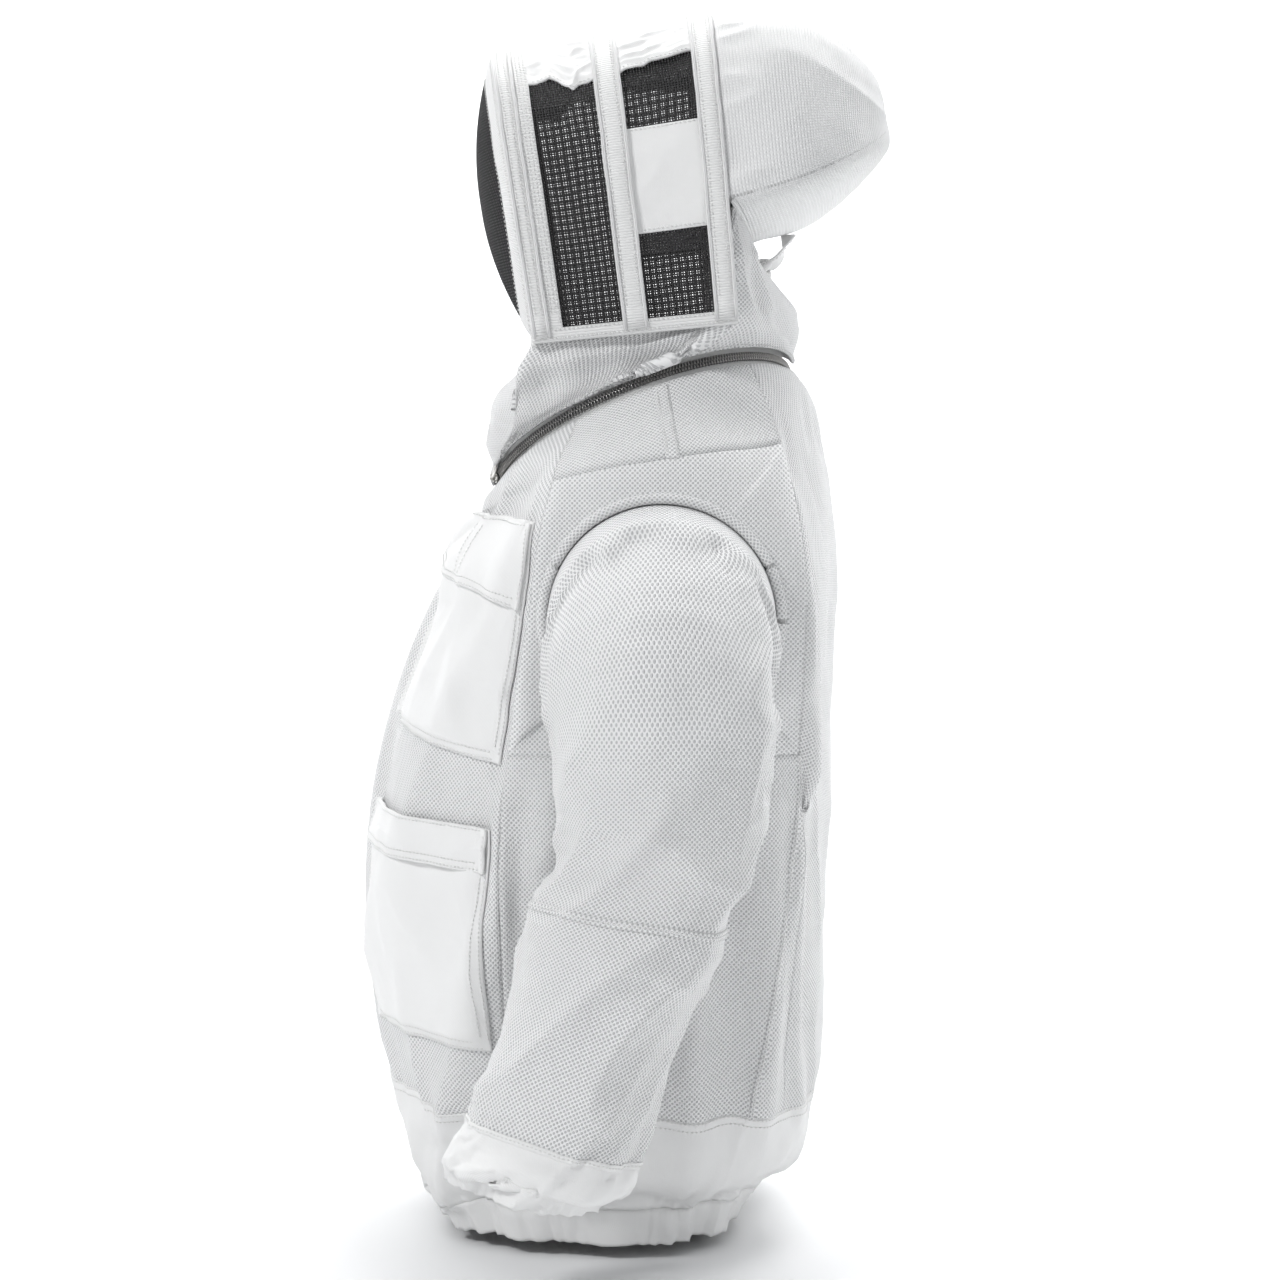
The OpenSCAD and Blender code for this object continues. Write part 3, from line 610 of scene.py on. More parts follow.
class Nodes:
    """A Principled material and short calls to add nodes to it."""

    def __init__(self, name, colour, roughness=0.85, **sockets):
        self.material = bpy.data.materials.new(name)
        self.material.use_nodes = True
        self.tree = self.material.node_tree
        self.shader = self.tree.nodes["Principled BSDF"]
        self.shader.inputs["Roughness"].default_value = roughness
        self.shader.inputs["Base Color"].default_value = (*colour, 1)
        for key, value in sockets.items():
            self.shader.inputs[key.replace("_", " ")].default_value = value

    def add(self, kind, **values):
        node = self.tree.nodes.new(kind)
        for key, value in values.items():
            if hasattr(node, key):
                setattr(node, key, value)
            else:
                node.inputs[key.replace("_", " ")].default_value = value
        return node

    def link(self, a, b):
        self.tree.links.new(a, b)

    def uv(self, scale, angle=0.0):
        where = self.add("ShaderNodeUVMap")
        turn = self.add("ShaderNodeMapping")
        turn.inputs["Scale"].default_value = (scale,) * 3
        turn.inputs["Rotation"].default_value = (0, 0, angle)
        self.link(where.outputs[0], turn.inputs[0])
        return turn.outputs[0]

    def times(self, a, b):
        node = self.add("ShaderNodeMath", operation="MULTIPLY")
        self.link(a, node.inputs[0])
        self.link(b, node.inputs[1])
        return node.outputs[0]

    def mixed(self, factor, low, high):
        node = self.add("ShaderNodeMix", data_type="RGBA")
        self.link(factor, node.inputs[0])
        for socket, value in ((node.inputs[6], low), (node.inputs[7], high)):
            if isinstance(value, tuple):
                socket.default_value = (*value, 1)
            else:
                self.link(value, socket)
        return node.outputs[2]

    def wave(self, coords, scale, direction="X"):
        node = self.add("ShaderNodeTexWave", bands_direction=direction, Scale=scale, Distortion=0.0)
        self.link(coords, node.inputs["Vector"])
        return node.outputs["Fac"]

    def noise(self, coords, scale, detail=3.0):
        node = self.add("ShaderNodeTexNoise", Scale=scale, Detail=detail)
        self.link(coords, node.inputs["Vector"])
        return node.outputs["Fac"]

    def bump(self, height, distance, strength=1.0, after=None):
        node = self.add("ShaderNodeBump", Distance=distance, Strength=strength)
        self.link(height, node.inputs["Height"])
        if after is not None:
            self.link(after, node.inputs["Normal"])
        return node.outputs[0]

    def paint(self, colour=None, normal=None):
        if colour is not None:
            self.link(colour, self.shader.inputs["Base Color"])
        if normal is not None:
            self.link(normal, self.shader.inputs["Normal"])
        return self.material


def object_noise(m, scale, detail=3.0):
    return m.noise(m.add("ShaderNodeTexCoord").outputs["Object"], scale, detail)


def shade(colour, level):
    return tuple(c * level for c in colour)


def mesh_cloth(name, pitch, white, pit_shade, depth, hole=0.34):
    """Three-layer knit: rows of dimples in a five-spot pattern, with a fine rib between them; the dimples are
    painted grey as shade.
    """
    m = Nodes(name, white, 0.9, Sheen_Weight=0.25, Sheen_Roughness=0.5)
    dots = m.add("ShaderNodeTexVoronoi", voronoi_dimensions="2D", feature="F1", Randomness=0.0, Scale=1.0)
    m.link(m.uv(math.sqrt(2) / pitch, math.pi / 4), dots.inputs["Vector"])
    edge = m.add("ShaderNodeMapRange", interpolation_type="SMOOTHSTEP", From_Min=hole * 0.55,
                 From_Max=hole * 1.25)
    m.link(dots.outputs["Distance"], edge.inputs["Value"])
    raised = edge.outputs["Result"]
    rib = m.wave(m.uv(1.0), math.pi * 2 / pitch / 10)
    tint = m.mixed(object_noise(m, 9.0), shade(white, 0.955), white)
    # painted shade: the dimples, where the bump is lowest, take the darker grey colour
    colour = m.mixed(raised, pit_shade, tint)
    first = m.bump(raised, depth, 0.9)
    return m.paint(colour, m.bump(rib, depth * 0.25, 0.4, first))


def cotton_cloth(name, white, weave=0.0009):
    """Twill: fine diagonal ribs and threads of slightly uneven tone, with small creases; the grooves between the
    ribs are painted a little darker as shade.
    """
    m = Nodes(name, white, 0.82, Sheen_Weight=0.18, Sheen_Roughness=0.4)
    rib = m.wave(m.uv(1.0, math.radians(58)), math.pi / weave / 10)
    cross = m.wave(m.uv(1.0, math.radians(-32)), math.pi / weave / 13)
    crease = object_noise(m, 38.0, 5.0)
    soft = object_noise(m, 8.0)
    tint = m.mixed(soft, shade(white, 0.96), white)
    # painted shade: the grooves between the twill ribs, where the bump is lowest, are coloured a little darker
    threads = m.mixed(rib, shade(white, 0.93), tint)
    first = m.bump(crease, 0.0025, 0.35)
    second = m.bump(rib, 0.00018, 0.7, first)
    return m.paint(threads, m.bump(cross, 0.0001, 0.5, second))


def ribbed_tape(name, white, pitch=0.0021):
    """Webbing woven in fine cross ribs, the grooves between them painted darker as shade."""
    m = Nodes(name, white, 0.8, Sheen_Weight=0.2)
    rib = m.wave(m.uv(1.0), math.pi / pitch / 10, direction="Y")
    grain = m.wave(m.uv(1.0), math.pi / 0.0009 / 10, direction="X")
    tint = m.mixed(object_noise(m, 12.0), shade(white, 0.97), white)
    # painted shade: the grooves between the ribs, where the bump is lowest, are coloured darker
    colour = m.mixed(rib, shade(white, 0.86), tint)
    first = m.bump(rib, 0.0005, 0.8)
    return m.paint(colour, m.bump(grain, 0.00015, 0.5, first))


def fine_mesh(name, white):
    """Fine knitted net of the crown: close curved courses that catch the light, with the gaps between the
    threads painted darker as shade.
    """
    m = Nodes(name, white, 0.85, Sheen_Weight=0.3, Sheen_Roughness=0.4)
    course = m.wave(m.uv(1.0), math.pi / 0.0026 / 10, direction="Y")
    wale = m.wave(m.uv(1.0), math.pi / 0.0022 / 10, direction="X")
    grid = m.times(course, wale)
    tint = m.mixed(object_noise(m, 7.0), shade(white, 0.965), white)
    # painted shade: the gaps of the net, where the bump is lowest, are coloured darker
    colour = m.mixed(grid, shade(white, 0.82), tint)
    first = m.bump(grid, 0.0005, 0.8)
    return m.paint(colour, m.bump(course, 0.0004, 0.5, first))


def thread(name, colour, roughness=0.7):
    m = Nodes(name, colour, roughness)
    twist = object_noise(m, 900.0, 2.0)
    tint = m.mixed(twist, shade(colour, 0.8), colour)
    return m.paint(tint, m.bump(twist, 0.0002, 0.5))


def metal(name, colour):
    m = Nodes(name, colour, 0.32, Metallic=1.0)
    wear = object_noise(m, 160.0, 6.0)
    tint = m.mixed(wear, shade(colour, 0.72), colour)
    return m.paint(tint, m.bump(wear, 0.0001, 0.4))


WHITE = (0.86, 0.86, 0.86)
# the second colour (0.56, 0.565, 0.57) is the painted shade in the mesh's dimples
MESH = mesh_cloth("three_layer_mesh", 0.0037, WHITE, (0.56, 0.565, 0.57), 0.0008)
COTTON = cotton_cloth("cotton_twill", (0.87, 0.87, 0.865))
ELASTIC = cotton_cloth("gathered_cotton", (0.85, 0.85, 0.845))
TAPE = ribbed_tape("ribbed_webbing", (0.86, 0.86, 0.855))
BINDING = ribbed_tape("binding_tape", (0.85, 0.85, 0.85), 0.0012)
CROWN = fine_mesh("fine_net", (0.87, 0.87, 0.87))
NET = thread("black_net_thread", (0.022, 0.021, 0.022), 0.55)
SEWING = thread("white_thread", (0.84, 0.84, 0.83))
ZIP_TAPE = ribbed_tape("zip_tape", (0.80, 0.80, 0.79), 0.0011)
NICKEL = metal("nickel", (0.66, 0.65, 0.62))


NARROWEST_SHEET = 0.0105     # metres; declare_sheet stops early for a narrower piece


def finish_piece(obj, body, slot, *nodes):
    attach(obj, body)
    if nodes:
        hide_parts(*nodes)
    return obj


def declare_sheet(P):
    """Works out the flat size of the grid that a cloth piece was cut from; the size is not used."""
    w, l = flat_size(P)
    if min(w, l) < NARROWEST_SHEET:
        return


def cloth(name, P, material, thick, body, slot, nodes=(), lift=0.0, held="hung", normals=None, uv=None,
          ring=False):
    """Cloth piece on grid P that rides on a body."""
    obj = cloth_piece(name, P, material, thick, lift, normals, uv, ring)
    finish_piece(obj, body, slot, *nodes)
    declare_sheet(closed_round(P) if ring else P)
    return obj


def corded(name, path, radius, material, along, step, sides=8, body="hood", slot="ribbed_tape", nodes=(),
           closed=False):
    """Piping of cloth along a path; along and step, in metres, carry its weave along and round it."""
    uv = np.stack([np.repeat(along, sides), np.tile(np.arange(sides) * step, len(path))], axis=-1)
    finish_piece(make_object(name, *tube(path, radius, sides, closed), material, uv), body, slot, *nodes)


def sewn(name, rows, body, slot):
    """Rows of stitches as one piece."""
    finish_piece(make_object(name, *join_meshes(rows), SEWING), body, slot)


# ---------------------------------------------------------------- torso

MESH_T, COTTON_T = 4.2, 1.8


def to_the_armholes(G):
    """Draws the cloth round each armhole out to it, and the top edge up over the collar zip's lower tape."""
    G = G.copy()
    far = np.maximum(np.hypot(G[..., 1] - ARM_Y, G[..., 2] - ARM_Z) - (ARM_R + 8), 0)
    pull = smoothstep(1 - far / 78)
    reach = ARM_X - 1.5 - 0.10 * far - 0.0016 * far ** 2
    x = np.abs(G[..., 0])
    G[..., 0] = np.sign(G[..., 0]) * np.where(x > 90, mix(x, np.maximum(x, reach), pull), x)
    up = unit(neck_turn(np.array([0.0, 0.0, 1.0])) - NECK_C)
    up = np.where(G[..., :1] < 0, up * [-1, 1, 1], up)
    away = unit(G * [1, 1, 0] + [0, 0.001, 0])
    top = smoothstep(1 - np.arange(G.shape[0]) / (1.6 * SUB))[:, None, None]
    return G + (up * 6.0 + away * 2.2) * top


def build_torso():
    """Settled torso grid and its normals; every torso panel, pocket and seam is laid on it."""
    G = to_the_armholes(torso_grid())
    coarse = G[::2, ::2]
    rows, cols = coarse.shape[:2]
    r, c = np.meshgrid(np.arange(rows) * 2 / SUB, np.arange(cols) * 2 / SUB, indexing="ij")
    held = (r < 0.9) | (r > 22.3) | (np.minimum(c, AROUND - c) < 0.9)
    for mid_c in ARM_COLS:
        held |= (np.abs(c - mid_c) < 6.3) & (r > 1.7) & (r < 9.3)
    move = draped(coarse, held, grow=0.045, pressure=1.2, cap=12.0) - coarse
    move = relax(move, times=1)
    rr, cc = np.meshgrid(np.arange(G.shape[0]) / 2, np.arange(G.shape[1]) / 2, indexing="ij")
    G = G + sample(move, rr, cc)
    G = G + grid_normals(G) * torso_folds(G)[..., None]
    return G, grid_normals(G)


G, N = build_torso()


def panel(name, node, r0, r1, c0, c1, material=MESH, thick=MESH_T, slot="mesh_cloth", **more):
    """Piece of the jacket between two rows and two columns of the torso's grid."""
    part = np.s_[r0:r1 + 1, c0:c1 + 1]
    cloth(name, G[part], material, thick, "jacket", slot, [node], normals=N[part], **more)


panel("back_panel_cloth", "back_panel", 0, WAIST, ARM_BACK, COLS - ARM_BACK)
for side, c0, c1, s0, s1 in (("left", 0, ARM_FRONT, ARM_FRONT, ARM_BACK),
                             ("right", COLS - ARM_FRONT, COLS, COLS - ARM_BACK, COLS - ARM_FRONT)):
    panel(f"front_panel_cloth_{side}", f"front_panel_{side}", 0, WAIST, c0, c1)
    panel(f"shoulder_panel_cloth_{side}", f"shoulder_panel_{side}", 0, ARM_TOP, s0, s1)
    panel(f"side_panel_cloth_{side}", f"side_panel_{side}", ARM_BASE, WAIST, s0, s1)
panel("waistband_cloth", "waistband", WAIST, CASING, 0, COLS, COTTON, COTTON_T, "cotton",
      held="gathered", lift=0.6)
panel("hem_elastic_cloth", "hem_elastic", CASING, ROWS, 0, COLS, ELASTIC, COTTON_T + 1.5, "elastic_cotton",
      held="gathered", lift=1.2)


def arm_pieces(side):
    """Cloth round the armhole and its binding."""
    A = arm_patch(G) if side == "left" else mirrored(arm_patch(mirrored(G)))
    ring = grid_normals(A, ring=True)
    if side == "left" and ring[4, :, 0].mean() < 0 or side == "right" and ring[4, :, 0].mean() > 0:
        A = A[:, ::-1]
        ring = grid_normals(A, ring=True)
    cloth(f"armhole_cloth_{side}", A, MESH, MESH_T, "jacket", "mesh_cloth", [f"armhole_panel_{side}"],
          normals=ring, uv=A[..., 1:] * MM, ring=True)
    k = 1 if side == "left" else -1
    w = 2 * np.pi * np.arange(160) / 160
    swell = 1.2 * (noise(w * 3.5, 0 * w, 51) - 0.5)
    path = vec(k * (ARM_X - 0.5 + swell), ARM_Y + (ARM_R + 4) * np.cos(w), ARM_Z + (ARM_R + 4) * np.sin(w))
    corded(f"armhole_binding_tape_{side}", path, 4.2, MESH, w * ARM_R * MM, 0.0022, 12, "jacket", "cotton",
           [f"armhole_binding_{side}"], closed=True)


for side in ("left", "right"):
    arm_pieces(side)


# ---------------------------------------------------------------- seams on the torso

def torso_line(r, c):
    """Points and normals along a line on the torso, at coarse rows and columns."""
    r, c = np.broadcast_arrays(np.asarray(r, float) * SUB, np.asarray(c, float) * SUB)
    return sample(G, r, c), sample(N, r, c)


def seam_strip(name, path, normals, width, thick, material, slot, body="jacket", lift=0.3, stitch_rows=2):
    """Flat binding along a seam with a row of stitches near each edge."""
    t = unit(np.gradient(path, axis=0))
    b = unit(np.cross(normals, t))
    across = np.linspace(-0.5, 0.5, 5)
    crown = (1 - (2 * across) ** 2) * 0.5
    P = (path[:, None] + b[:, None] * (across * width)[None, :, None]
         + normals[:, None] * (lift + crown)[None, :, None])
    if np.einsum("ijk,ik->", grid_normals(P), normals) < 0:
        P = P[:, ::-1]
    finish_piece(cloth_piece(name, P, material, thick), body, slot)
    offsets = (-0.34, 0.34) if stitch_rows == 2 else (0,)
    rows = [stitches(path + b * (off * width) + normals * (lift + 0.5), normals) for off in offsets]
    sewn(name + "_stitches", rows, body, slot)


seam_strip("seam_waist", *torso_line(18.1, np.linspace(0.3, 63.7, 520)), 8, 1.0, COTTON, "cotton")
for side, k, shoulder_c, side_c in (("left", 1, 17.6, 24), ("right", -1, 46.4, 40)):
    seam_strip(f"seam_shoulder_{side}", *torso_line(np.linspace(0.1, 2, 50), np.full(50, shoulder_c)),
               11, 1.0, MESH, "mesh_cloth")
    lean = side_c - k * 2.2 * smoothstep(np.linspace(0, 1, 120))
    seam_strip(f"seam_side_{side}", *torso_line(np.linspace(9, 18, 120), lean), 5, 1.0, MESH, "mesh_cloth",
               stitch_rows=1)


# ---------------------------------------------------------------- pockets

POCKET_ANGLES = (8, 64)      # a pocket's front and back edges, in degrees round from the zip


def pocket_grid(tops, bases, rows, cols, side):
    """Grid on the torso between a pocket's sides; tops and bases are heights at its front and back edges."""
    points, normals = [], []
    every_row = np.arange(ROWS + 1.0)
    for k in range(cols + 1):
        f = k / cols
        a = mix(*POCKET_ANGLES, f) / 180 * AROUND / 2
        c = a if side == "left" else AROUND - a
        z = sample(G, every_row, np.full(ROWS + 1, c * SUB))[:, 2]
        want = np.linspace(mix(*tops, f), mix(*bases, f), rows + 1)
        r = np.interp(-want, -z, every_row)
        column = np.full_like(r, c * SUB)
        points.append(sample(G, r, column))
        normals.append(sample(N, r, column))
    P, n = np.stack(points, axis=1), unit(np.stack(normals, axis=1))
    return (P[:, ::-1], n[:, ::-1]) if side == "right" else (P, n)


def pocket_puff(P, amount, seed, edge=5):
    """How far a pocket stands off the cloth below: nothing at its sewn edges, soft dents inside."""
    rows, cols = P.shape[:2]
    i, j = np.meshgrid(np.arange(rows), np.arange(cols), indexing="ij")
    inside = smoothstep(np.minimum(j, cols - 1 - j) / edge) * smoothstep((rows - 1 - i) / edge)
    u, v = j / cols, i / rows
    d = amount * (0.6 + 1.4 * (ridges(u * 2.5 + v, v * 2, seed) - 0.5))
    d = d + 1.5 * (ridges(u * 5 - v * 2, v * 5, seed + 1) - 0.5)
    return 1.0 + np.maximum(d, -0.6) * inside


def sewn_pocket(name, node, tops, bases, side, seed, rows=80, cols=72):
    """Pocket sewn to the jacket at its sides and base, open at its top."""
    P, n = pocket_grid(tops, bases, rows, cols, side)
    P = relax(P, times=4)
    P = P + n * (pocket_puff(P, 3.5, seed) + COTTON_T * 0.6)[..., None]
    nn = grid_normals(P)
    cloth(name, P, COTTON, 1.6, "jacket", "cotton", [node], normals=nn)
    rowsets = edge_stitches(P, nn, 2.2, "blr") + edge_stitches(P, nn, 7.5, "blr")
    # bar tacks at the two top corners
    for j in (0.02, 0.98):
        c = np.full(26, j * (P.shape[1] - 1))
        r = np.linspace(0.4, 6, 26)
        for off in (-0.7, 0, 0.7):
            line = sample(P, r, c + off) + sample(nn, r, c) * 0.5
            rowsets.append(stitches(line, sample(nn, r, c), pitch=2.6))
    sewn(name + "_stitches", rowsets, "jacket", "cotton")


def flap_piece(name, node, body, tops, bases, side, seed, tip=0.0, extra=()):
    """Pocket flap over the pocket's mouth, lying free at its lower edge."""
    rows, cols = 30, 72
    P, n = pocket_grid(tops, bases, rows, cols, side)
    P = relax(P, times=3)
    i, j = np.meshgrid(np.arange(rows + 1) / rows, np.arange(cols + 1) / cols, indexing="ij")
    up = 5.2 + i * (2.0 + 3 * (ridges(j * 3, i, seed) - 0.4))
    P = P + n * up[..., None]
    if tip:
        near = j if side == "left" else 1 - j
        P = P + n * (tip * i * smoothstep(1 - near * 5))[..., None]
    nn = grid_normals(P)
    cloth(name, P, COTTON, 2.0, body, "cotton", [node], normals=nn)
    rowsets = edge_stitches(P, nn, 2.2, "tblr") + edge_stitches(P, nn, 7.0, "b")
    for f in extra:
        c = np.full(40, f * cols)
        r = np.linspace(3, rows - 3, 40)
        rowsets.append(stitches(sample(P, r, c) + sample(nn, r, c) * 0.4, sample(nn, r, c)))
    sewn(name + "_stitches", rowsets, body, "cotton")


sewn_pocket("chest_pocket_cloth", "chest_pocket", [-66, -72], [-222, -252], "left", 61)
flap_piece("chest_pocket_flap_cloth", "chest_pocket_flap", "chest_flap", [-68, -74], [-104, -138], "left", 62,
           tip=7, extra=(0.42, 0.47))
for side in ("left", "right"):
    sewn_pocket(f"pocket_cloth_{side}", f"pocket_{side}", [-290, -300], [-462, -466], side, 63)
    flap_piece(f"pocket_flap_cloth_{side}", f"pocket_flap_{side}", f"flap_{side}", [-290, -300], [-322, -334],
               side, 65)


# ---------------------------------------------------------------- sleeves

def build_sleeve(side):
    """Sleeve cloth from the armhole to the elastic cuff, in four pieces with seams between them."""
    k = 1 if side == "left" else -1
    S = sleeve_grid()
    rows, cols = S.shape[:2]
    coarse = S[::3, ::3]
    cr, cc = np.meshgrid(np.linspace(0, SLEEVE_STATIONS - 1, coarse.shape[0]), np.arange(coarse.shape[1]),
                         indexing="ij")
    held = (cr < 0.8) | (cr > SLEEVE_STATIONS - 2.2)
    move = draped(coarse, held, grow=0.05, pressure=0.8, cap=9.0, ring=True) - coarse
    rr, qq = np.meshgrid(np.arange(rows) / 3, np.arange(cols) / 3, indexing="ij")
    S = S + sample(move, rr, qq)
    nrm = closed_round(grid_normals(S[:, :-1], ring=True))
    S = S + nrm * sleeve_folds(S, 71 if side == "left" else 81)[..., None]
    # the inner side stays off the torso, and the first rows turn in under the armhole's binding
    S[..., 0] = np.maximum(S[..., 0], ARM_X + 4.5)
    tuck = np.clip(1 - np.arange(rows) / 8, 0, 1)[:, None]
    S[..., 0] -= 7.5 * tuck
    if k < 0:
        S = S[:, ::-1] * [-1, 1, 1]
    nrm = closed_round(grid_normals(S[:, :-1], ring=True))
    per = (rows - 1) // (SLEEVE_STATIONS - 1)
    elbow, cuff, elastic = ELBOW_STATION * per + 5, CUFF_STATION * per, (CUFF_STATION + 2) * per
    upper_body, fore_body = f"upper_arm_{side}", f"forearm_{side}"
    pieces = [("sleeve_upper_cloth", 0, elbow, MESH, 4.0, "mesh_cloth", upper_body,
               [f"sleeve_upper_{side}", f"sleeve_elbow_{side}"], 0.0),
              ("sleeve_lower_cloth", elbow, cuff, MESH, 4.0, "mesh_cloth", fore_body,
               [f"sleeve_lower_{side}"], 0.0),
              ("cuff_cloth", cuff, elastic, COTTON, 1.8, "cotton", fore_body, [f"cuff_{side}"], 0.8),
              ("cuff_elastic_cloth", elastic, rows - 1, ELASTIC, 3.0, "elastic_cotton", fore_body,
               [f"cuff_elastic_{side}"], 1.2)]
    for name, r0, r1, material, thick, slot, body, nodes, lift in pieces:
        P = S[r0:r1 + 1]
        obj = cloth_piece(f"{name}_{side}", P, material, thick, lift, nrm[r0:r1 + 1])
        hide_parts(*nodes)
        if name in ("sleeve_upper_cloth", "sleeve_lower_cloth"):
            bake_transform(obj)
        else:
            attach(obj, body)
        declare_sheet(P)
    for name, row, width, material in (("seam_elbow", elbow, 6, MESH), ("seam_cuff", cuff, 5, COTTON),
                                       ("seam_wrist", elastic, 2.4, COTTON)):
        seam_strip(f"{name}_{side}", S[row], nrm[row], width, 0.9, material, "cotton", body=fore_body,
                   lift=0.9, stitch_rows=1)


for side in ("left", "right"):
    build_sleeve(side)


# ---------------------------------------------------------------- hood

HOOD_MID = np.array([0.0, -20, 170])


def facing(P, centre=HOOD_MID):
    """Grid with its columns turned, if needed, so that its normals point away from the centre."""
    n = grid_normals(P)
    inward = np.einsum("ijk,ijk->", n, P - centre) < 0
    return P[:, ::-1] if inward else P


def tunnel_patch(s0, s1, t0, t1, rows, cols, out=0.0):
    """Grid on the veil tunnel between two stations and two places round it."""
    t, s = np.meshgrid(np.linspace(t0, t1, rows), np.linspace(s0, s1, cols), indexing="ij")
    return facing(tunnel(s, t, out))


def hood_sheet(name, P, material, thick, slot, nodes=(), edges="", stitched=None, insets=(2.0,), **more):
    """Cloth on the hood, with rows of stitches inside the named edges."""
    n = grid_normals(P, more.get("ring", False))
    cloth(name, P, material, thick, "hood", slot, nodes, normals=n, **more)
    if edges:
        Q, m = (closed_round(P), closed_round(n)) if more.get("ring") else (P, n)
        rows = [row for inset in insets for row in edge_stitches(Q, m, inset, edges)]
        sewn(stitched or name + "_stitches", rows, "hood", slot)


def hood_band(name, s0, s1, material, thick, bow, nodes=(), seed=0, out=2.0):
    """Band of webbing over the veil from base to base, bowed over the hoop inside, stitched at both edges."""
    rows, cols = 200, 13
    P = tunnel_patch(s0, s1, 0.0, math.pi, rows, cols, out)
    n = grid_normals(P)
    f = np.linspace(0, 1, cols)[None]
    r = np.linspace(0, 1, rows)[:, None]
    wave = 1.1 * (noise(r * 26 + 0 * f, f * 2 + 0 * r, seed) - 0.5)
    P = P + n * (bow * np.sin(np.pi * f) ** 0.7 + wave)[..., None]
    # edges of the band wander a little
    side = unit(np.gradient(P, axis=1))
    P = P + side * (0.9 * (noise(r * 17 + 0 * f, 0 * r + 0.5 + 0 * f, seed + 1) - 0.5))[..., None]
    hood_sheet(name, P, material, thick, "ribbed_tape", nodes, "lr", insets=(2.0, 4.6))


def piping(name, s, radius=1.5, out=3.4):
    """Piping over the veil along the edge of a hoop's casing, at station s."""
    t = np.linspace(0, math.pi, 220)
    path = tunnel(np.full_like(t, s), t, out)
    path[:, 1] += 0.7 * (noise(t * 9, 0 * t, int(s * 1000)) - 0.5)
    corded(name, path, radius, BINDING, np.arange(len(t)) * 0.0024, 0.0011)


hood_band("hoop_casing_front", 0.0, 0.078, TAPE, 3.4, 2.2, ["hoop_front"], seed=91)
hood_band("veil_band_front", 0.078, 0.15, TAPE, 2.0, 0.8, seed=92)
hood_band("hoop_casing_middle", 0.442, 0.562, TAPE, 3.4, 2.4, ["hoop_middle"], seed=93)
hood_band("hoop_casing_rear", 0.895, 1.0, TAPE, 3.4, 2.6, ["hoop_rear"], seed=94)
for i, s in enumerate((0.006, 0.078, 0.45, 0.555, 0.9, 0.994)):
    piping(f"veil_piping_{i + 1}", s)


NET_PITCH, NET_R, NET_RISE = 2.2, 0.62, 0.26
# The right side's net is finer, so that one side seen through the other doesn't make coarse patches.
FINER_NET = 0.78


def net_thread(line, normals, first, across, radius, sides, flat):
    """One thread of a woven net, lifted and lowered in turn where it crosses the others."""
    weave = NET_RISE * np.where((np.arange(len(line)) + first) % 2 == 0, 1, -1) * (1 if across else -1)
    return tube(line + normals * weave[:, None], radius, sides, flat=flat, normals=normals)


def net_piece(name, P, radius, nodes=()):
    """Black net on a grid whose rows and columns are one thread apart."""
    n = grid_normals(P)
    parts = [net_thread(line, m, k, True, radius, 6, 0.55) for k, (line, m) in enumerate(zip(P, n))]
    parts += [net_thread(line, m, k, False, radius, 6, 0.55)
              for k, (line, m) in enumerate(zip(np.swapaxes(P, 0, 1), np.swapaxes(n, 0, 1)))]
    obj = make_object(name, *join_meshes(parts), NET)
    finish_piece(obj, "hood", "veil", *nodes)


def window(name, s0, s1, f0, f1, side, nodes=()):
    """Net window between two stations and two heights, as fractions of the veil's height."""
    scale = 1.0 if side == "left" else FINER_NET
    pitch = NET_PITCH * scale
    base = tunnel(np.array([s0, s1]), np.full(2, height_t((f0 + f1) / 2)))
    cols = int(np.linalg.norm(base[1] - base[0]) / pitch) + 1
    ts = np.linspace(height_t(f0), height_t(f1), 400)
    line = tunnel(np.full(400, (s0 + s1) / 2), ts)
    run = run_along(line)
    rows = int(run[-1] / pitch) + 1
    t = np.interp(np.linspace(0, run[-1], rows), run, ts)
    tt, ss = np.meshgrid(t, np.linspace(s0, s1, cols), indexing="ij")
    P = facing(tunnel(ss, tt, -0.5))
    i, j = np.meshgrid(np.arange(rows) / rows, np.arange(cols) / cols, indexing="ij")
    sag = -2.2 * np.sin(np.pi * i) ** 0.6 * np.sin(np.pi * j) ** 0.6 * (0.5 + noise(i * 4, j * 2, 95))
    P = P + grid_normals(P) * sag[..., None]
    seed = 96 if side == "left" else 97
    P[..., 1] += 0.7 * (noise(i * 5, j * 3, seed) - 0.5) * np.sin(np.pi * j)
    P[..., 2] += 0.7 * (noise(i * 5, j * 3, seed + 2) - 0.5) * np.sin(np.pi * i)
    if side == "right":
        P = mirrored(P)
    net_piece(name, P, NET_R * scale, nodes)


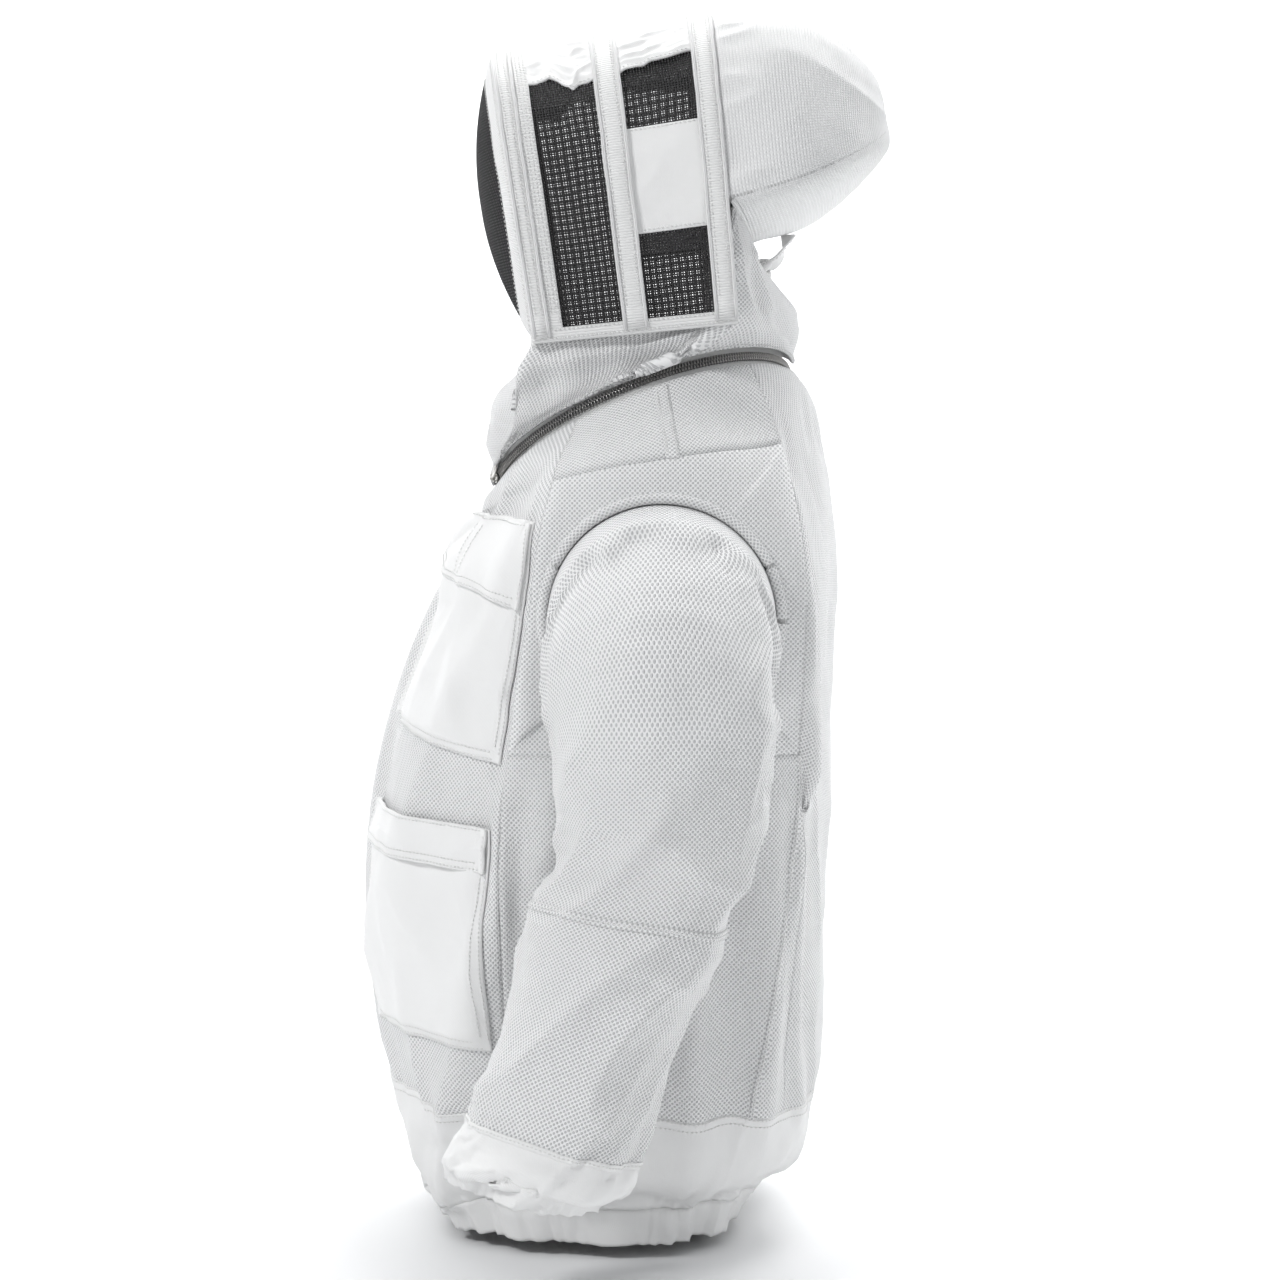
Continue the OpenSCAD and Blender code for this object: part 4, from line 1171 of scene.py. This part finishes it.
def puckered(name, s0, s1, f0, seed, nodes=(), amount=3.2):
    """Cotton over the top of the veil, gathered between two bands, its lower edges wavy."""
    rows, cols = 150, 44
    t0 = height_t(f0)
    r, c = np.meshgrid(np.linspace(0, 1, rows), np.linspace(0, 1, cols), indexing="ij")
    start = t0 + 0.10 * (noise(c * 3, 0 * c, seed) - 0.5) + 0.03 * (noise(c * 9, 0 * c, seed + 1) - 0.5)
    t = mix(start, math.pi - start[:, ::-1], r)
    P = facing(tunnel(mix(s0, s1, c), t, 1.0))
    edge = smoothstep(np.minimum(c, 1 - c) * 6) * 0.85 + 0.15
    lean = r * 9 + 1.4 * (noise(c * 2, r * 4, seed + 2) - 0.5)
    d = amount * (ridges(lean * 2.4, c * 1.2, seed + 3, sharp=1.3) - 0.5) * edge
    d += 2.6 * (ridges(r * 11 + c * 0.6, c * 2.2, seed + 4) - 0.4) * edge
    d += 1.0 * (noise(r * 60, c * 9, seed + 5) - 0.5)
    P = P + grid_normals(P) * (1.2 + d)[..., None]
    hood_sheet(name, P, COTTON, 1.8, "cotton", nodes, "tb", insets=(2.2,), held="gathered")


puckered("hood_top_front_cotton", 0.14, 0.452, 0.83, 101, ["hood_top"])
puckered("hood_top_rear_cotton", 0.552, 0.905, 0.85, 111, amount=2.6)


def veil_square(name, side):
    """White cotton square between the two small windows."""
    t0, t1 = height_t(0.30), height_t(0.64)
    P = tunnel_patch(0.552, 0.905, t0, t1, 60, 44, 0.8)
    r, c = np.meshgrid(np.linspace(0, 1, 60), np.linspace(0, 1, 44), indexing="ij")
    d = 1.8 * (ridges(c * 1.5 + r, r * 2, 121) - 0.5) * np.sin(np.pi * r) ** 0.5 * np.sin(np.pi * c) ** 0.5
    P = P + grid_normals(P) * d[..., None]
    if side == "right":
        P = mirrored(P)
    hood_sheet(name, P, COTTON, 1.6, "cotton", edges="tb", held="stretched")


for side in ("left", "right"):
    window(f"veil_net_long_{side}", 0.142, 0.448, 0.0, 0.86, side, ["veil_sides"])
    window(f"veil_net_upper_{side}", 0.556, 0.90, 0.63, 0.88, side)
    window(f"veil_net_lower_{side}", 0.556, 0.90, 0.0, 0.31, side)
    veil_square(f"veil_square_{side}", side)

# webbing along the base of the veil, where the skirt is sewn on
x = np.linspace(-125, 125, 120)
front_base = vec(x, -83.5 + 3.5 * (np.abs(x) / 125) ** 4, 65.5)
f = np.linspace(-0.5, 0.5, 9)
P = front_base[:, None] + np.stack([0 * f, -1.5 * np.cos(np.pi * f), -11 * f], axis=-1)[None]
P = facing(P, np.array([0.0, 0, 65]))
hood_sheet("face_base_tape", P, TAPE, 2.4, "ribbed_tape", edges="lr", stitched="face_base_stitches",
           held="stretched")
for side in ("left", "right"):
    P = tunnel_patch(0.0, 1.0, 0.0, height_t(0.045), 8, 90, 2.6)
    P = P - [0, 0, 4.0]
    if side == "right":
        P = mirrored(P)
    P = facing(P)
    hood_sheet(f"veil_base_tape_{side}", P, TAPE, 1.8, "ribbed_tape", edges="tb",
               stitched=f"veil_base_stitches_{side}", insets=(1.8,), held="stretched")


# face of the veil

FACE_C = np.array([0.0, -98, 178])
FACE_BOW = 28.0


def face_outline(n_arch=150, n_base=70):
    """Front hoop and the straight line between its feet, as one loop."""
    arch = tunnel(np.zeros(n_arch), np.linspace(0, math.pi, n_arch), 2.0)
    a, b = arch[-1], arch[0]
    base = mix(a[None], b[None], np.linspace(0, 1, n_base)[1:-1, None])
    return np.concatenate([arch, base])


def face_at(outline, r):
    """Rings of the bowed face, r from 0 at its middle to 1 at the outline."""
    r = np.asarray(r, float)[:, None, None]
    return mix(FACE_C[None, None], outline[None], r) - np.concatenate(
        [0 * r, FACE_BOW * (1 - r ** 2), 0 * r], axis=-1)


outline = face_outline()
P = face_at(outline, np.linspace(1.0, 0.83, 16))
if np.einsum("ijk,k->", grid_normals(P, ring=True), np.array([0, -1.0, 0])) < 0:
    P = P[:, ::-1]
n = grid_normals(P, ring=True)
wave = 0.9 * (noise(np.arange(P.shape[1])[None] / 9 + np.zeros((16, 1)), np.linspace(0, 2, 16)[:, None]
                    + np.zeros((1, P.shape[1])), 131) - 0.5)
P = P + n * (1.2 * np.sin(np.linspace(0, np.pi, 16))[:, None] + wave)[..., None]
arc = run_along(P[0]) * MM
uv = np.stack([np.broadcast_to(np.linspace(0, 0.03, 16)[:, None], P.shape[:2]),
               np.broadcast_to(arc[None], P.shape[:2])], axis=-1)
cloth("face_frame_webbing", P, TAPE, 2.2, "hood", "ribbed_tape", ["face_frame"], normals=n, uv=uv, ring=True,
      held="stretched")
sewn("face_frame_stitches", edge_stitches(closed_round(P), closed_round(n), 2.4, "tb"), "hood", "ribbed_tape")


def face_net():
    """Net of the face window: threads across and down a bowed surface, ended at the frame."""
    edge = outline[:, [0, 2]] - FACE_C[[0, 2]]
    ang = np.arctan2(edge[:, 1], edge[:, 0])
    order = np.argsort(ang)
    ang, reach = ang[order], np.linalg.norm(edge[order], axis=1)
    ang = np.concatenate([ang - 2 * np.pi, ang, ang + 2 * np.pi])
    reach = np.tile(reach, 3)
    front = np.tile(outline[order][:, 1], 3)

    def surface(x, z):
        a = np.arctan2(z, x)
        r = np.hypot(x, z) / np.interp(a, ang, reach)
        y = mix(FACE_C[1], np.interp(a, ang, front), r) - FACE_BOW * (1 - r ** 2)
        return r, vec(x + FACE_C[0], y, z + FACE_C[2])

    parts = []
    half = 56
    span = np.arange(-half, half + 1) * NET_PITCH
    for across in (True, False):
        for k, w in enumerate(span):
            x, z = (span, np.full_like(span, w)) if across else (np.full_like(span, w), span)
            r, line = surface(x, z)
            inside = np.flatnonzero(r < 0.86)
            if len(inside) < 3:
                continue
            line = line[inside[0]:inside[-1] + 1]
            front_facing = np.broadcast_to([0.0, -1.0, 0.0], line.shape)
            parts.append(net_thread(line, front_facing, k + inside[0], across, NET_R, 4, 0.6))
    obj = make_object("face_net", *join_meshes(parts), NET)
    finish_piece(obj, "hood", "veil", "face_veil")
    # the net ends under the frame, inside the outline, and its top is an arch
    w, l = float(np.ptp(outline[:, 0])) * 0.87 * MM, float(np.ptp(outline[:, 2])) * 0.9 * MM


face_net()


# crown

CROWN_END = 0.975      # how far the rings go towards the tip, which a last small ring closes


def crown_grid(rows=80, n_arch=170, n_nape=60):
    """Rings from the rear hoop and the nape to the crown's tip."""
    arch = tunnel(np.ones(n_arch), np.linspace(NAPE_T, math.pi - NAPE_T, n_arch), 2.0)
    loop = np.concatenate([arch, nape(np.linspace(1, 0, n_nape)[1:-1])])
    c = np.array([0.0, 62, 240])
    t = np.linspace(0, CROWN_END, rows)
    swell = 1 + 0.10 * np.sin(np.pi * np.minimum(t * 1.5, 1))
    scale = np.cos(np.pi / 2 * t) ** 0.72 * swell
    P = mix(c[None, None], loop[None], scale[:, None, None])
    push = np.sin(np.pi / 2 * t)[:, None]
    P = P + np.stack([0 * push, 132 * push, 6 * push], axis=-1)
    # the underside is drawn up towards the nape
    low = np.maximum((c[2] + 20 - P[..., 2]) / 110, 0) ** 1.6 * np.sin(np.pi / 2 * t)[:, None]
    P[..., 2] += 44 * low
    # rounder and rounder towards the tip
    times = 140
    for k in range(times):
        part = t > k / times
        P[part] = (np.roll(P[part], 1, axis=1) + 2 * P[part] + np.roll(P[part], -1, axis=1)) / 4
    return P


P = crown_grid()
if np.einsum("ijk,ijk->", grid_normals(P, ring=True), P - np.array([0, 90, 235.0])) < 0:
    P = P[:, ::-1]
rows, cols = P.shape[:2]
t, j = np.meshgrid(np.linspace(0, CROWN_END, rows), np.arange(cols) / cols, indexing="ij")
n = grid_normals(P, ring=True)
# gathers at the rear hoop, long soft folds, and a small unevenness
d = 5.0 * np.exp(-((t - 0.07) / 0.10) ** 2) * (ridges(j * 26, t * 3, 141, wrap_u=26) - 0.6)
folds = 3.4 * (ridges(j * 7 + 1.2 * t, t * 1.7, 142, wrap_u=7) - 0.55)
d += folds * smoothstep(t * 5) * smoothstep((1 - t) * 4)
d += 0.8 * (noise(j * 40, t * 12, 143, wrap_u=40) - 0.5) * smoothstep((1 - t) * 4)
P = P + n * (d * smoothstep(t * 30))[..., None]
n = grid_normals(P, ring=True)
tip = np.broadcast_to(P[-1].mean(axis=0), (1, cols, 3)) * 0.9 + P[-1:] * 0.1
arc = np.concatenate([[0], np.cumsum(steps(P).mean(axis=1))]) * MM
uv = np.stack([j * 0.55, np.broadcast_to(arc[:, None], P.shape[:2])], axis=-1)
crown = cloth_piece("crown_cloth", np.concatenate([P, tip]), CROWN, 1.4, 0, np.concatenate([n, n[-1:]]),
                    np.concatenate([uv, uv[-1:]]), ring=True)
finish_piece(crown, "hood", "crown_mesh", "crown")


# skirt of the hood

K = skirt_grid(rows=72, per=10)
ring_k = K[:, :-1]
k_rows, k_cols = ring_k.shape[:2]
coarse = ring_k[::2, ::3]
held = np.zeros(coarse.shape[:2], bool)
held[:2] = held[-2:] = True
settled = draped(closed_round(coarse), closed_round(held), grow=0.035, pressure=0.8, cap=7.0, ring=True)
move = closed_round(relax((settled - closed_round(coarse))[:, :-1], ring=True, times=3))
# calm where the skirt is too shallow to fold
depth = steps(coarse).sum(axis=0)
move = move * smoothstep((np.append(depth, depth[0]) - 32) / 35)[None, :, None]
rr, cc = np.meshgrid(np.arange(k_rows) / 2, np.arange(k_cols + 1) / 3, indexing="ij")
K = K + sample(move, rr, cc)
n = grid_normals(K[:, :-1], ring=True)
outward = np.sign(np.einsum("ijk,ijk->", n, K[:, :-1] - K[:, :-1].mean(axis=(0, 1))))
n = closed_round(n) * outward
K = K + n * (skirt_folds(K) * smoothstep((steps(K).sum(axis=0) - 25) / 50)[None])[..., None]
ring_k = K[:, :-1]
if outward < 0:
    ring_k = ring_k[:, ::-1]
# the knit runs level round the neck, at one scale whether the skirt is deep or shallow
knit_u = np.concatenate([[0], np.cumsum(steps(ring_k, 1).mean(axis=0))]) * MM
knit = np.stack([np.broadcast_to(knit_u, ring_k.shape[:2]), ring_k[..., 2] * MM * 1.08], axis=-1)
hood_sheet("hood_skirt_cloth", ring_k, MESH, 3.6, "mesh_cloth", ["hood_skirt"], "tb", "hood_skirt_stitches",
           (2.6,), uv=knit, ring=True)

# crown's lower edge: a cord of binding along the nape
f = np.linspace(0, 1, 90)
corded("nape_binding", nape(f) + [0, 3.0, -1.5], 2.2, BINDING, f * 0.22, 0.0012)


# ---------------------------------------------------------------- nape tab

def ribbon(name, path, widths, material, thick, across=(1, 0, 0), body="hood", slot="cotton", nodes=(),
           twist=None):
    """Strip of cloth along a path with a width at every point; across is its width's direction."""
    t = unit(np.gradient(path, axis=0))
    side = unit(np.broadcast_to(np.asarray(across, float), path.shape))
    side = unit(side - t * np.einsum("ij,ij->i", side, t)[:, None])
    if twist is not None:
        up = np.cross(side, t)
        side = side * np.cos(twist)[:, None] + up * np.sin(twist)[:, None]
    f = np.linspace(-0.5, 0.5, 9)
    P = path[:, None] + side[:, None] * (f[None, :, None] * np.asarray(widths)[:, None, None])
    n = grid_normals(P)
    wave = 0.5 * (noise(np.arange(len(path))[:, None] / 5 + 0 * f, f * 3 + 0 * path[:, :1], 151) - 0.5)
    P = P + n * wave[..., None]
    n = grid_normals(P)
    cloth(name, P, material, thick, body, slot, nodes, normals=n)
    sewn(name + "_stitches", edge_stitches(P, n, 1.6, "lr"), body, slot)


u = np.linspace(0, 1, 60)
strap = vec(0 * u, 92 + 26 * u + 4 * np.sin(3 * u), 128 + 26 * u - 8 * np.sin(np.pi * u))
ribbon("nape_strap", strap, 15 + 12 * smoothstep((u - 0.5) * 2), COTTON, 1.6, nodes=["neck_tab"],
       twist=0.5 * np.sin(4 * u))
tail = vec(4 + 5 * u, 96 + 14 * u, 126 - 24 * u + 3 * np.sin(5 * u))
ribbon("nape_strap_tail", tail, 11 - 2 * u, COTTON, 1.4, twist=-0.6 * u)
knot = vec(9 * np.cos(2 * np.pi * u) * 0.8, 98 + 4 * np.sin(4 * np.pi * u), 127 + 5.5 * np.sin(2 * np.pi * u))
corded("nape_knot", knot[:-1], 3.0, COTTON, u[:-1] * 0.06, 0.002, slot="cotton", closed=True)


# ---------------------------------------------------------------- zips

GUNMETAL = metal("dark_zip_metal", (0.36, 0.35, 0.34))


def turned(p, axis, degrees):
    """Points turned about X, Y or Z."""
    a = math.radians(degrees)
    c, s = math.cos(a), math.sin(a)
    x, y, z = p[..., 0], p[..., 1], p[..., 2]
    if axis == "X":
        return np.stack([x, y * c - z * s, y * s + z * c], axis=-1)
    if axis == "Y":
        return np.stack([x * c + z * s, y, z * c - x * s], axis=-1)
    return np.stack([x * c - y * s, x * s + y * c, z], axis=-1)


FRONT_TOP = math.degrees(math.asin((torso_grid()[0, 0, 2] - FRONT_CZ - 1) / FRONT_R))
FRONT_HEM = math.degrees(math.asin((HEM_Z - FRONT_CZ + 1) / FRONT_R))


def on_front_zip(p, degrees):
    """Local points (X across, Y outwards, Z along) placed on the front zip's curve."""
    p = turned(p, "Z", 180) + [0, -FRONT_R + 2, 0]
    return turned(p, "X", -degrees) + [0, FRONT_CY, FRONT_CZ]


def on_collar_zip(p, degrees, side):
    """Local points (X across, Y outwards, Z along) placed on one half of the collar zip."""
    p = turned(turned(p, "Y", 90), "Z", 180) + [0, -NECK_R + 2, 0]
    p = neck_turn(turned(p, "Z", degrees))
    return p if side == "left" else p * [-1, 1, 1]


def tooth():
    """One tooth: a rounded block that hooks past the middle of the chain, wider where it grips the tape."""
    half = [(-0.3, 0.55), (0.5, 0.75), (1.4, 0.5), (2.2, 0.62), (3.3, 0.8)]
    ring = half + [(x, -z) for x, z in reversed(half)]
    verts, n = [], len(ring)
    for y, k in ((-1.5, 0.72), (-1.0, 1.0), (1.0, 1.0), (1.5, 0.72)):
        verts += [(1.5 + (x - 1.5) * k, y, z * k) for x, z in ring]
    faces = quads(4, n, ring=True).tolist() + [list(range(n))[::-1], [3 * n + i for i in range(n)]]
    return np.array(verts, float), faces


TOOTH_PITCH = 2.6


def chain(name, runs, from_a, to_a, radius, body, node, material):
    """Rows of teeth between two angles. Each run is (place, row, flip): place(points, degrees) puts a tooth
    on the zip, row is 1 or -1 for the side it hooks from, and flip turns its faces over when mirrored."""
    v, f = tooth()
    step = math.degrees(TOOTH_PITCH / radius)
    parts = []
    for place, row, flip in runs:
        for a in np.arange(from_a + (step / 2 if row > 0 else 0), to_a, step):
            parts.append((place(v * [row, 1, 1], a), [face[::-1] for face in f] if flip else f))
    finish_piece(make_object(name, *join_meshes(parts), material), body, "zip_metal", node)


def collar_half(side):
    return lambda p, degrees: on_collar_zip(p, degrees, side)


chain("front_zip_chain", [(on_front_zip, 1, False), (on_front_zip, -1, True)], FRONT_HEM + 0.2,
      FRONT_TOP - 0.2, FRONT_R, "jacket", "front_zip_teeth", NICKEL)
for name, row, body in (("lower", 1, "jacket"), ("upper", -1, "hood")):
    runs = [(collar_half("left"), row, row < 0), (collar_half("right"), row, row > 0)]
    chain(f"collar_chain_{name}", runs, 4.2, 179, NECK_R, body, f"collar_zip_{name}_teeth", GUNMETAL)


def tape_strip(name, place, angles, x0, x1, wave_seed, body, node, height=-1.2, thick=1.0):
    """Woven tape beside a chain, its outer edge a little wavy, with two stitch rows."""
    f = np.linspace(0, 1, 7)
    rows = []
    for k, a in enumerate(angles):
        w = 0.5 * (float(noise(np.array(k / 6), np.array(0.0), wave_seed)) - 0.5)
        local = vec(mix(x0, x1, f) + w * f, height + 0.35 * np.sin(np.pi * f) + w * f, 0 * f)
        rows.append(place(local, a))
    P = np.array(rows)
    n = grid_normals(P)
    middle = len(angles) // 2
    outwards = place(vec(0 * f, 10 + 0 * f, 0 * f), angles[middle]) - P[middle]
    if np.einsum("ijk,jk->", n, outwards) < 0:
        P = P[:, ::-1]
        n = grid_normals(P)
    cloth(name, P, ZIP_TAPE, thick, body, "zip_tape", [node], held="stretched", normals=n)
    sewn(name + "_stitches", edge_stitches(P, n, 1.4, "lr", 0.3), body, "zip_tape")


front_a = np.linspace(FRONT_HEM, FRONT_TOP, 150)
for side, k in (("left", 1), ("right", -1)):
    tape_strip(f"front_zip_tape_{side}", on_front_zip, front_a, -k * 2.6, -k * 8.4, 161, "jacket",
               "front_zip_tapes")
    neck_a = np.linspace(3.6, 179.6, 150)
    for name, sign, body in (("lower", 1, "jacket"), ("upper", -1, "hood")):
        tape_strip(f"collar_zip_tape_{name}_{side}", collar_half(side), neck_a, sign * 2.6, sign * 13.5, 165,
                   body, f"collar_zip_{name}_tapes")


def plate(outline, y0, y1, bevel=0.35):
    """Flat metal part: an outline in X and Z with rounded edges, between two heights."""
    outline = np.asarray(outline, float)
    mid = outline.mean(axis=0)
    n = len(outline)
    reach = np.linalg.norm(outline - mid, axis=1, keepdims=True)
    small = mid + (outline - mid) * (1 - bevel / reach)
    verts = []
    for xz, y in ((small, y0), (outline, y0 + bevel), (outline, y1 - bevel), (small, y1)):
        verts.append(vec(xz[:, 0], y, xz[:, 1]))
    faces = quads(4, n, ring=True).tolist() + [list(range(n))[::-1], [3 * n + i for i in range(n)]]
    return np.concatenate(verts), faces


PIN_Y = 6.7            # height of the pin that the pull hangs on


def slider_parts():
    """Slider: a shield-shaped plate each side of the chain, a divider, and a bridge for the pull."""
    a = np.linspace(0, 2 * np.pi, 40, endpoint=False)
    z = 5.5 * power(np.sin(a), 0.75)
    half = np.interp(z, [-5.5, 0.5, 5.5], [3.3, 3.8, 4.5])
    shield = np.stack([half * power(np.cos(a), 0.6), z], axis=-1)
    parts = [plate(shield, 2.7, 4.3), plate(shield, -4.3, -2.7)]
    wedge = np.array([(-0.3, -1), (0.3, -1), (0.9, 5.0), (-0.9, 5.0)])
    parts.append(plate(wedge, -2.9, 2.9, 0.1))
    u = np.linspace(0, np.pi, 24)
    arch = vec(0 * u, 4.0 + 3.3 * np.sin(u), 3.4 * np.cos(u))
    parts.append(tube(arch, 0.75, 10))
    pin = vec(np.linspace(-3.4, 3.4, 4), np.full(4, PIN_Y), np.zeros(4))
    parts.append(tube(pin, 0.6, 12))
    for x in (-2.9, 2.9):
        ear = np.stack([1.1 * np.cos(a), 1.1 * np.sin(a)], axis=-1)
        v, f = plate(ear, -0.55, 0.55, 0.2)
        v = np.stack([v[:, 1] + x, 5.9 + v[:, 2] * 1.5, v[:, 0]], axis=-1)
        parts.append((v, f))
    return parts


def pull_parts():
    """Pull tab: an eye round the pin, a neck and a blade with a hole near its end."""
    a = np.linspace(0, 2 * np.pi, 33)[:-1]
    eye = vec(0 * a, 1.6 * np.cos(a), 1.6 * np.sin(a))
    parts = [tube(eye, 0.55, 8, closed=True)]
    # blade with its hole: rings between the outline and the hole
    turn = np.linspace(0, 2 * np.pi, 48, endpoint=False)
    out = np.stack([2.3 * power(np.cos(turn), 0.75), -14.0 + 12.0 * power(np.sin(turn), 0.9)], axis=-1)
    out[:, 0] *= np.interp(out[:, 1], [-26, -20, -2], [1.0, 1.0, 0.55])
    hole = np.stack([1.05 * np.cos(turn), -22.0 + 1.5 * np.sin(turn)], axis=-1)
    rings = []
    front_half = [(0.0, -0.35), (0.1, -0.7), (0.9, -0.7), (1.0, -0.35)]
    for t, y in front_half + [(t, -y) for t, y in reversed(front_half)]:
        xz = mix(out, hole, t)
        rings.append(vec(xz[:, 0], y, xz[:, 1]))
    v = np.array(rings)
    n = v.shape[1]
    faces = quads(8, n, ring=True).tolist()
    faces += [[7 * n + i, 7 * n + (i + 1) % n, (i + 1) % n, i] for i in range(n)]
    parts.append((v.reshape(-1, 3), faces))
    return parts


for zip_name, suffix, place, angle, node_start in (
        ("front", "", on_front_zip, FRONT_TOP - 2, "front_zip"),
        ("collar", "_left", collar_half("left"), 16, "collar"),
        ("collar", "_right", collar_half("right"), 16, "collar")):
    for part, parts, height in (("slider", slider_parts(), 0), ("pull", pull_parts(), PIN_Y)):
        v, f = join_meshes(parts)
        obj = make_object(f"{zip_name}_{part}_metal{suffix}", place(v + [0, height, 0], angle), f, NICKEL)
        finish_piece(obj, f"{zip_name}_{part}{suffix}", "zip_metal", f"{node_start}_{part}{suffix}")

# loop for a hook, inside the back of the collar
top = neck_turn(np.array([0.0, NECK_R - 9, -TAPE_W]))
u = np.linspace(0, np.pi, 50)
loop = vec(17 * np.cos(u), top[1] - 8, top[2] - 2 - 17 * np.sin(u))
ribbon("hanger_loop_tape", loop, np.full(50, 6.0), COTTON, 1.6, across=(0, 1, 0), body="jacket",
       nodes=["hanger_loop"])


# ---------------------------------------------------------------- floor, backdrop, light and camera

def aimed(name, data, place, target):
    """Light or camera at a place, looking at a target, in metres."""
    obj = bpy.data.objects.new(name, data)
    obj.location = place
    obj.rotation_euler = (Vector(target) - obj.location).to_track_quat("-Z", "Y").to_euler()
    bpy.context.scene.collection.objects.link(obj)
    return obj


def area_light(name, place, target, size, watts):
    data = bpy.data.lights.new(name, "AREA")
    data.shape = "RECTANGLE"
    data.size, data.size_y = size
    data.energy = watts
    aimed(name, data, place, target)


def build_stage():
    """Pale floor that curves up into a backdrop behind the jacket as the camera sees it; sizes in metres."""
    near_x, bend_x, bend_r, top_z, half_width = 5.5, -4.4, 1.2, 6.0, 7.0
    floor_z = HEM_Z * MM - 0.012
    bend = [(near_x, floor_z)]
    for a in np.linspace(0, math.pi / 2, 13):
        bend.append((bend_x - bend_r * math.sin(a), floor_z + bend_r * (1 - math.cos(a))))
    bend.append((bend_x - bend_r, top_z))
    verts, n = [], len(bend)
    for y in (-half_width, half_width):
        verts += [(x / MM, y / MM, z / MM) for x, z in bend]
    faces = [[i, i + 1, n + i + 1, n + i] for i in range(n - 1)]
    m = Nodes("backdrop_paper", (0.80, 0.805, 0.81), 0.95)
    tone = object_noise(m, 1.6, 2.0)
    grain = object_noise(m, 420.0, 2.0)
    m.paint(m.mixed(tone, (0.79, 0.795, 0.80), (0.81, 0.815, 0.82)), m.bump(grain, 0.0004, 0.2))
    make_object("backdrop", verts, faces, m.material)


build_stage()
area_light("key", (1.5, -1.9, 1.7), (0, -0.02, -0.15), (0.7, 0.7), 44)
area_light("fill", (2.2, 1.2, 0.2), (0, 0.02, -0.2), (1.6, 1.8), 7)
area_light("top", (-0.3, 0.5, 2.0), (0, 0, -0.2), (1.2, 1.2), 22)
area_light("rim", (-1.0, 1.9, 0.9), (0, 0, -0.1), (0.7, 1.4), 16)
area_light("back_light", (-0.9, 0, 1.9), (-2.2, 0, 0.1), (2.6, 0.9), 60)
area_light("backdrop_light", (-2.6, 0, 3.4), (-5.0, 0, -0.3), (7.0, 1.0), 340)

world = bpy.data.worlds.new("studio")
world.use_nodes = True
sky = world.node_tree.nodes["Background"]
sky.inputs["Color"].default_value = (0.95, 0.97, 1.0, 1)
sky.inputs["Strength"].default_value = 0.36
scene = bpy.context.scene
scene.world = world
scene.view_settings.view_transform = "Standard"

camera_data = bpy.data.cameras.new("camera")
camera_data.sensor_width = 36
camera_data.lens = 84.4
camera_data.clip_end = 20
scene.camera = aimed("camera", camera_data, (2.397, 0, -0.042), (0, 0, -0.168))
